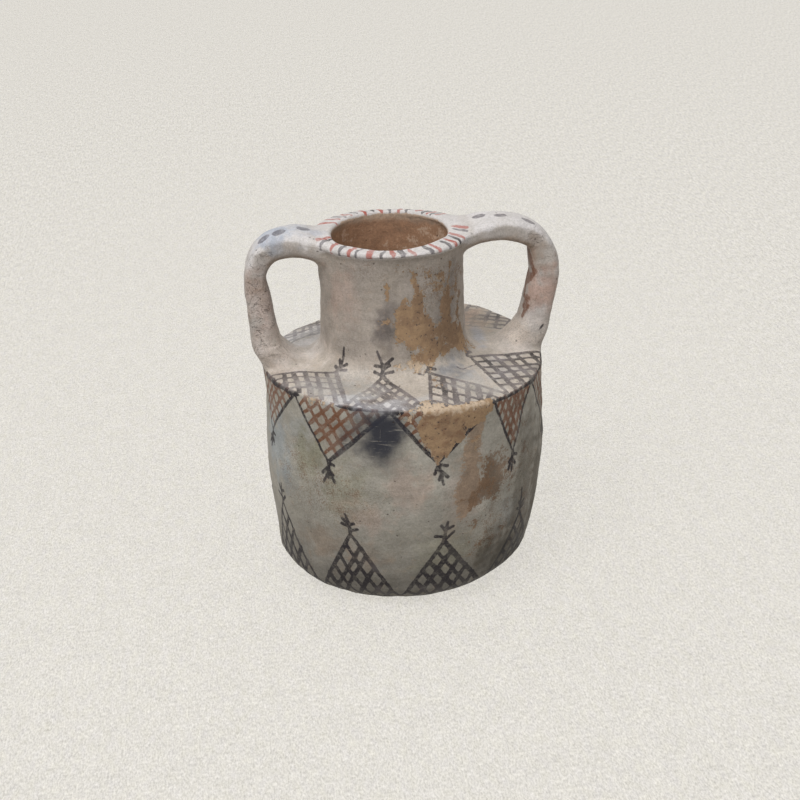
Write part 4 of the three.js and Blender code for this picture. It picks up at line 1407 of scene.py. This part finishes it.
def fired_slip_group(colours):
    """The shared effect: slip with wiping marks, grain and pits, brushed paint with ragged and dry edges,
    places where the slip has flaked off the clay, stains, soot, painted shade and fine cracks."""
    group = bpy.data.node_groups.get("fired slip")
    if group:
        return group
    group = bpy.data.node_groups.new("fired slip", "ShaderNodeTree")
    face = group.interface
    face.new_socket("slip", in_out="INPUT", socket_type="NodeSocketColor")
    for name in FIELDS:
        face.new_socket(name, in_out="INPUT", socket_type="NodeSocketFloat")
    for name in PAINT_COLOURS:
        socket = face.new_socket(name, in_out="INPUT", socket_type="NodeSocketColor")
        socket.default_value = (*getattr(colours, name), 1)
    for name, kind in (("Colour", "Color"), ("Roughness", "Float"), ("Height", "Float")):
        face.new_socket(name, in_out="OUTPUT", socket_type=f"NodeSocket{kind}")
    w = Wiring(group)
    given = SimpleNamespace(**{
        socket.name: socket for socket in w.node("NodeGroupInput").outputs if socket.name})
    place = w.node("ShaderNodeTexCoord").outputs["Object"]

    broad = w.noise(place, 45, 4)
    medium = w.noise(place, 160, 4, 0.6)
    patchy = w.noise(place, 290, 3, 0.6)
    fine = w.noise(place, 560, 4, 0.65)
    grain = w.noise(place, 1400, 3, 0.7)
    wiping = w.noise(w.stretched(place, (1, 1, 7)), 70, 5, 0.65)
    streaks = w.noise(w.stretched(place, (1, 1, 0.45)), 150, 5, 0.62, 0.3)

    # Slip: brush marks, mottling and sandy grain, with brown specks where grime has settled
    shade = w.add(1, (wiping, 0.16), (medium, 0.3), (fine, 0.68),
                  w.about(grain, w.add(0.75, w.times(given.grime, 0.5))))
    body = w.tinted(given.slip, w.add(shade, (broad, 0.16)), w.add(shade, (broad, 0.18)),
                    w.add(shade, (broad, 0.26), (fine, 0.1)))
    warm = w.step(w.add(medium, (fine, 0.5)), 0.56, 0.72)
    body = w.mix(w.times(warm, 0.16), body, given.bare_clay)
    flecks = w.noise(place, 1000, 3, 0.7)
    specks = w.step(w.add(flecks, w.times(given.grime, 0.08), (medium, 0.5), (broad, 0.5)), 0.6, 0.7)
    body = w.mix(w.times(specks, w.add(0.12, w.times(given.grime, 0.45))), body, given.brown_stain)

    def stained(under, amount, colour, strength):
        edge = w.add(amount, (medium, 1.3), (patchy, 1.0), (fine, 1.1), (flecks, 0.7))
        share = w.times(w.step(edge, 0.36, 0.66), w.times(w.step(amount, 0.03, 0.3), strength))
        uneven = w.add(shade, (medium, 0.7), (patchy, 0.5))
        return w.mix(share, under, w.dimmed(colour, uneven))

    body = stained(body, given.stain, given.tan_stain, 0.85)
    body = stained(body, given.brown, given.brown_stain, 0.7)

    # Bare clay, where the slip has flaked off in islands, with dark specks of temper
    islands = w.add((streaks, 1.4), (patchy, 1.1), (fine, 0.9), (flecks, 0.6), (medium, 0.8))
    edge = w.add(given.bare, islands)
    bare = w.times(w.step(edge, 0.46, 0.54), w.step(given.bare, 0.05, 0.2))
    clay = w.mix(w.step(w.add(broad, (medium, 0.9), w.times(given.grime, 0.2)), 0.4, 0.66),
                 given.bare_clay, given.dark_clay)
    rim = w.times(w.step(edge, 0.66, 0.54), w.step(broad, 0.42, 0.6))
    chipped = w.step(w.add(given.chip, (patchy, 1.1), (medium, 1.0)), 0.2, 0.6)
    pale = w.greater(w.times(chipped, 0.85), w.times(rim, 0.55))
    clay = w.mix(pale, clay, given.pale_clay)
    calmer = w.add(0.3, w.times(shade, 0.7), w.times(given.grime, -0.15))
    clay = w.dimmed(clay, calmer)
    temper = w.step(w.add(w.noise(place, 420, 2, 0.5), (grain, 0.3)), 0.63, 0.69)
    clay = w.mix(w.times(temper, 0.7), clay, given.soot_colour)

    # Paint: ragged edges, and gaps where the brush ran dry or the paint wore off
    ragged = w.add((fine, 1.0), (medium, 0.6))
    dry = w.step(w.add(w.noise(place, 330, 3, 0.7), (grain, 0.4)), 0.66, 0.46)
    kept = w.minus(1, w.times(bare, 0.93))
    worn = w.times(kept, w.times(given.fade, w.add(0.66, w.times(dry, 0.34))))

    def brushed_on(under, distance, paint, strength):
        cover = w.step(w.add(distance, ragged), 0.35, -0.3)
        return w.mix(w.times(cover, w.times(worn, strength), clamp=True), under, paint), cover

    painted, rust_cover = brushed_on(body, given.rust, given.rust_paint, 0.9)
    painted, _ = brushed_on(painted, given.red, given.red_paint, 1.1)
    dark_paint = w.mix(w.step(given.fade, 0.92, 0.55), given.black_paint, given.thin_paint)
    painted, black_cover = brushed_on(painted, given.black, dark_paint, 1.0)
    traces = w.times(w.times(rust_cover, bare), w.times(w.step(medium, 0.48, 0.62), 0.22))
    colour = w.mix(bare, painted, w.mix(traces, clay, given.rust_paint))

    # The inside: bare clay beyond a ragged edge at the lip's crest, with a pale film in places
    inside = w.step(w.add(given.inwards, (medium, 3.4), (fine, 2.4), (broad, 3.0)), -0.3, 0.6)
    film = w.step(w.add(broad, (medium, 0.7), (fine, 0.7), w.times(given.stain, 0.12)), 0.64, 0.76)
    crest = w.step(w.add(given.inwards, (medium, 8), (broad, 10)), 8.5, 0)
    film = w.greater(w.times(film, 0.5), w.times(crest, 0.75))
    inner = w.mix(film, given.inside_clay, given.inside_pale)
    inner_shade = w.add(shade, (broad, 0.3), (medium, 0.5), (patchy, 0.3))
    colour = w.mix(inside, colour, w.dimmed(inner, inner_shade))

    # Soot with scratches through it, painted shade, cracks and pits
    cloud = w.step(w.add(given.soot, (medium, 0.6), (fine, 0.3), (broad, 0.9)), 0.0, 0.92)
    level = w.noise(w.stretched(place, (0.3, 0.3, 3.4)), 260, 3, 0.6, 0.4)
    upright = w.noise(w.stretched(place, (2.4, 2.4, 0.35)), 230, 3, 0.6, 0.4)
    scratch = w.greater(w.step(level, 0.6, 0.68), w.step(upright, 0.64, 0.7))
    cloud = w.times(cloud, w.minus(1, w.times(scratch, 0.45)))
    cloud = w.times(cloud, w.times(w.step(given.soot, 0.0, 0.25), 0.96))
    colour = w.mix(cloud, colour, given.soot_colour)
    # Painted shade: the colour, paint included, is darkened where the shade field is high
    colour = w.mix(given.shade, colour, w.mix(1, colour, PAINTED_SHADE_FILTER, "MULTIPLY"))
    squiggle = w.noise(w.stretched(place, (1, 1, 1.6)), 95, 3, 0.6, 0.8)
    line = w.step(w.math("ABSOLUTE", w.minus(squiggle, 0.5)), 0.011, 0.003)
    cracks = w.times(line, w.times(given.crack, w.step(broad, 0.38, 0.5)))
    spots = w.node("ShaderNodeTexVoronoi", {"Vector": place, "Scale": 190}).outputs["Distance"]
    rare = w.step(w.noise(place, 120, 2), 0.52, 0.62)
    pits = w.times(w.step(spots, 0.17, 0.08), rare)
    dark = w.times(w.greater(cracks, pits), 0.8)
    colour = w.mix(w.times(dark, 0.75), colour, HOLLOW_COLOUR)

    # Height in mm for the bump, and roughness
    height = w.add(w.times(grain, 0.16), w.times(fine, 0.38), w.times(wiping, 0.18),
                   w.times(medium, 0.35), w.times(bare, -0.3), w.times(dark, -0.4),
                   w.times(black_cover, 0.03))
    rough = w.add(0.6, w.times(bare, 0.22), (medium, 0.25), w.times(inside, 0.2))
    out = w.node("NodeGroupOutput")
    for name, value in (("Colour", colour), ("Roughness", rough), ("Height", height)):
        group.links.new(value, out.inputs[name])
    return group


def slip_material(name, colours, gloss):
    """One finish of the jar: the shared slip group in a Principled shader of its own gloss."""
    material = bpy.data.materials.new(name)
    material.use_nodes = True
    w = Wiring(material.node_tree)
    shader = material.node_tree.nodes["Principled BSDF"]
    effect = w.node("ShaderNodeGroup", node_tree=fired_slip_group(colours))
    for field in ("slip", *FIELDS):
        read = w.node("ShaderNodeAttribute", attribute_name=field)
        w.give(effect.inputs[field], read.outputs["Color" if field == "slip" else "Fac"])
    bump = w.node("ShaderNodeBump", {"Strength": 0.9, "Distance": 0.001,
                                     "Height": effect.outputs["Height"]})
    w.give(shader.inputs["Base Color"], effect.outputs["Colour"])
    w.give(shader.inputs["Roughness"], effect.outputs["Roughness"])
    w.give(shader.inputs["Normal"], bump.outputs["Normal"])
    shader.inputs["Specular IOR Level"].default_value = gloss
    return material


def finish_piece(piece, colours, node, slot, gloss):
    """Gives a piece its material and its body, and hides the node that it stands for."""
    name = f"{slot}_finish"
    material = bpy.data.materials.get(name) or slip_material(name, colours, gloss)
    piece.data.materials.append(material)
    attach(piece, "root")
    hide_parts(node)


class JarOperator:
    """What the jar's operators share: the scene's settings, and how a turned piece is made."""
    bl_options = {"REGISTER", "UNDO"}

    def settings(self, context):
        """The skin, worked out from the scene's sizes, and the colours."""
        return (Skin(in_millimetres(context.scene.jar_sizes)),
                in_millimetres(context.scene.jar_colours))

    def turn(self, context, name, node, slot, gloss, outer, inner=None):
        """Builds and finishes one turned piece."""
        skin, colours = self.settings(context)
        piece = turned_object(name, skin, colours, outer, inner)
        finish_piece(piece, colours, node, slot, gloss)
        return {"FINISHED"}


class JAR_OT_floor(JarOperator, Operator):
    """Build the floor slab"""
    bl_idname = "jar.floor"
    bl_label = "Floor slab"

    def execute(self, context):
        return self.turn(context, "foot", "floor_slab", "dark_clay", 0.2, "foot_out", "floor_in")


class JAR_OT_wall(JarOperator, Operator):
    """Build the wall"""
    bl_idname = "jar.wall"
    bl_label = "Wall"

    def execute(self, context):
        return self.turn(context, "wall", "body_wall", "wall_slip", 0.28, "wall_out", "wall_in")


class JAR_OT_shoulder(JarOperator, Operator):
    """Build the shoulder"""
    bl_idname = "jar.shoulder"
    bl_label = "Shoulder"

    def execute(self, context):
        return self.turn(context, "shoulder", "shoulder_ring", "shoulder_slip", 0.35,
                         "shoulder_out", "shoulder_in")


class JAR_OT_neck(JarOperator, Operator):
    """Build the neck"""
    bl_idname = "jar.neck"
    bl_label = "Neck"

    def execute(self, context):
        return self.turn(context, "collar", "neck", "neck_slip", 0.35, "neck_out", "neck_in")


class JAR_OT_lip(JarOperator, Operator):
    """Build the lip"""
    bl_idname = "jar.lip"
    bl_label = "Lip"

    def execute(self, context):
        return self.turn(context, "lip", "lip_ring", "white_slip", 0.4, "lip")


class JAR_OT_handles(JarOperator, Operator):
    """Build the two strap handles"""
    bl_idname = "jar.handles"
    bl_label = "Handles"

    def execute(self, context):
        skin, colours = self.settings(context)
        straps = in_millimetres(context.scene.strap_sizes)
        for which, side in ((LEFT, "left"), (RIGHT, "right")):
            piece = strap_object(f"strap_{side}", skin, straps, colours, which)
            finish_piece(piece, colours, f"handle_{side}", "handle_slip", 0.4)
        return {"FINISHED"}


class JAR_OT_stage(Operator):
    """Place the camera, the floor and the lamps"""
    bl_idname = "jar.stage"
    bl_label = "Stage"

    def execute(self, context):
        scene = context.scene
        stage = scene.jar_stage
        place_camera(scene, stage)
        place_floor(scene, stage)
        place_lamps(scene, stage)
        scene.view_settings.view_transform = "Standard"
        return {"FINISHED"}


# The picture's width in mm, half the floor's in metres, and the sky's colour
PICTURE_WIDTH = 36
FLOOR_HALF = 6.0
SKY_COLOUR = (0.95, 0.97, 1.0, 1)
# Lamps: name, which the setting of its power has too, place and width in metres
LAMPS = (("key", (-0.75, -0.85, 1.7), 1.1), ("fill", (1.3, -0.8, 0.9), 1.2))


def place_camera(scene, stage):
    """The camera looks back along its own axis at the aim: it is raised by the elevation, rolled,
    and the whole is turned round the jar by the azimuth."""
    high, roll = stage.elevation, stage.roll
    back = np.array([0, -np.cos(high), np.sin(high)])
    right = np.array([1.0, 0, 0])
    up = np.array([0, np.sin(high), np.cos(high)])
    axes = np.array([right * np.cos(roll) + up * np.sin(roll),
                     up * np.cos(roll) - right * np.sin(roll), back])
    place = np.array(stage.aim) + back * stage.distance
    turn = np.array(Matrix.Rotation(stage.azimuth, 3, "Z"))
    data = bpy.data.cameras.new("camera")
    data.lens, data.sensor_width = stage.lens, PICTURE_WIDTH
    camera = bpy.data.objects.new("camera", data)
    pose = np.eye(4)
    pose[:3, :3] = turn @ axes.T
    pose[:3, 3] = turn @ place
    camera.matrix_world = Matrix(pose.tolist())
    scene.collection.objects.link(camera)
    scene.camera = camera


def seen_directly(w):
    """1 for rays that show the background: from the camera, in a mirror or through glass."""
    rays = w.node("ShaderNodeLightPath").outputs
    return w.greater(w.greater(rays["Is Camera Ray"], rays["Is Glossy Ray"]),
                     rays["Is Transmission Ray"])


def place_floor(scene, stage):
    """A wide plain floor under the jar. Seen directly it is mostly its pale backdrop colour, and
    partly lit, so that the jar's shadow shows. It throws little light back on the jar."""
    mesh = bpy.data.meshes.new("floor")
    mesh.from_pydata([(x * FLOOR_HALF, y * FLOOR_HALF, 0) for x, y in (
        (-1, -1), (1, -1), (1, 1), (-1, 1))], [], [(0, 1, 2, 3)])
    floor = bpy.data.objects.new("floor", mesh)
    material = bpy.data.materials.new("floor")
    material.use_nodes = True
    w = Wiring(material.node_tree)
    shader = material.node_tree.nodes["Principled BSDF"]
    direct = seen_directly(w)
    place = w.stretched(w.node("ShaderNodeTexCoord").outputs["Object"], (1, stage.grain_squash, 1))
    away = w.node("ShaderNodeVectorMath", {0: place}, operation="LENGTH").outputs["Value"]
    coarse = w.noise(w.stretched(place, (1, 0.5, 1)), 420, 2, 0.6)
    fleck = w.add(1, (w.noise(place, 950, 2, 0.7), 1.0), (w.noise(place, 420, 2), 0.34),
                  (w.noise(place, 90, 3), 0.14),
                  w.times(w.step(away, 0.2, 0.6), w.about(coarse, 0.7)))
    pale = w.tinted((*stage.floor_colour, 1), fleck, fleck,
                    w.add(fleck, (w.noise(place, 200, 3), 0.12)))
    w.give(shader.inputs["Base Color"], w.mix(direct, (*stage.floor_bounce, 1), pale))
    shader.inputs["Roughness"].default_value = 1
    shader.inputs["Specular IOR Level"].default_value = 0
    backdrop = w.node("ShaderNodeEmission", {"Color": pale, "Strength": 1.0})
    share = w.times(direct, stage.backdrop_share)
    both = w.node("ShaderNodeMixShader", {0: share, 1: shader.outputs[0], 2: backdrop.outputs[0]})
    output = material.node_tree.nodes["Material Output"]
    w.give(output.inputs["Surface"], both.outputs[0])
    mesh.materials.append(material)
    scene.collection.objects.link(floor)


def place_lamps(scene, stage):
    """Soft studio light: a pale sky that is brighter overhead and darker on the right, a wide lamp
    above the front left and a weaker one on the right."""
    world = bpy.data.worlds.new("sky")
    world.use_nodes = True
    w = Wiring(world.node_tree)
    sky = world.node_tree.nodes["Background"]
    towards = w.node("ShaderNodeSeparateXYZ", {
        "Vector": w.node("ShaderNodeTexCoord").outputs["Generated"]})
    upwards = towards.outputs["Z"]
    strength = w.add(stage.sky_level, w.times(w.greater(upwards, 0), stage.sky_overhead))
    strength = w.times(strength, w.minus(1, w.times(
        w.step(towards.outputs["X"], 0.25, 0.85), stage.sky_shaded)))
    direct = seen_directly(w)
    w.give(sky.inputs["Color"], w.mix(direct, SKY_COLOUR, (*stage.floor_colour, 1)))
    w.give(sky.inputs["Strength"], w.add(w.times(strength, w.minus(1, direct)), direct))
    scene.world = world
    for name, place, size in LAMPS:
        data = bpy.data.lights.new(name, "AREA")
        data.shape, data.size, data.energy = "DISK", size, getattr(stage, f"{name}_power")
        lamp = bpy.data.objects.new(name, data)
        direction = np.array(place) - np.array(stage.aim)
        lamp.matrix_world = Matrix.Translation(place) @ aimed(direction).to_4x4()
        scene.collection.objects.link(lamp)


def aimed(back):
    """A turn whose Z axis points along back, with its X axis level."""
    back = back / np.linalg.norm(back)
    right = np.cross((0, 0, 1), back)
    right /= np.linalg.norm(right)
    return Matrix(np.array([right, np.cross(back, right), back]).T.tolist())


class JAR_PT_panel(Panel):
    """Lists the jar's sizes, colours and build steps."""
    bl_label = "Clay jar"
    bl_idname = "JAR_PT_panel"
    bl_space_type = "VIEW_3D"
    bl_region_type = "UI"
    bl_category = "Clay jar"

    def draw(self, context):
        layout = self.layout
        for group in (getattr(context.scene, name) for name in GROUPS):
            box = layout.box()
            for key in group.bl_rna.properties.keys():
                if key not in ("rna_type", "name"):
                    box.prop(group, key)
        for operator in STEPS:
            layout.operator(operator.bl_idname)


GROUPS = {"jar_sizes": JarSizes, "strap_sizes": StrapSizes, "jar_colours": JarColours,
          "jar_stage": StageSettings}
STEPS = (JAR_OT_stage, JAR_OT_floor, JAR_OT_wall, JAR_OT_shoulder, JAR_OT_neck, JAR_OT_lip,
         JAR_OT_handles)


def register():
    for group in (*GROUPS.values(), *STEPS, JAR_PT_panel):
        bpy.utils.register_class(group)
    for name, group in GROUPS.items():
        setattr(bpy.types.Scene, name, PointerProperty(type=group))


def unregister():
    for name in GROUPS:
        delattr(bpy.types.Scene, name)
    for group in (JAR_PT_panel, *reversed(STEPS), *reversed(tuple(GROUPS.values()))):
        bpy.utils.unregister_class(group)


def main():
    """Builds the stage and every piece."""
    register()
    for step in STEPS:
        getattr(bpy.ops.jar, step.bl_idname.split(".")[1])()


if __name__ == "__main__":
    main()
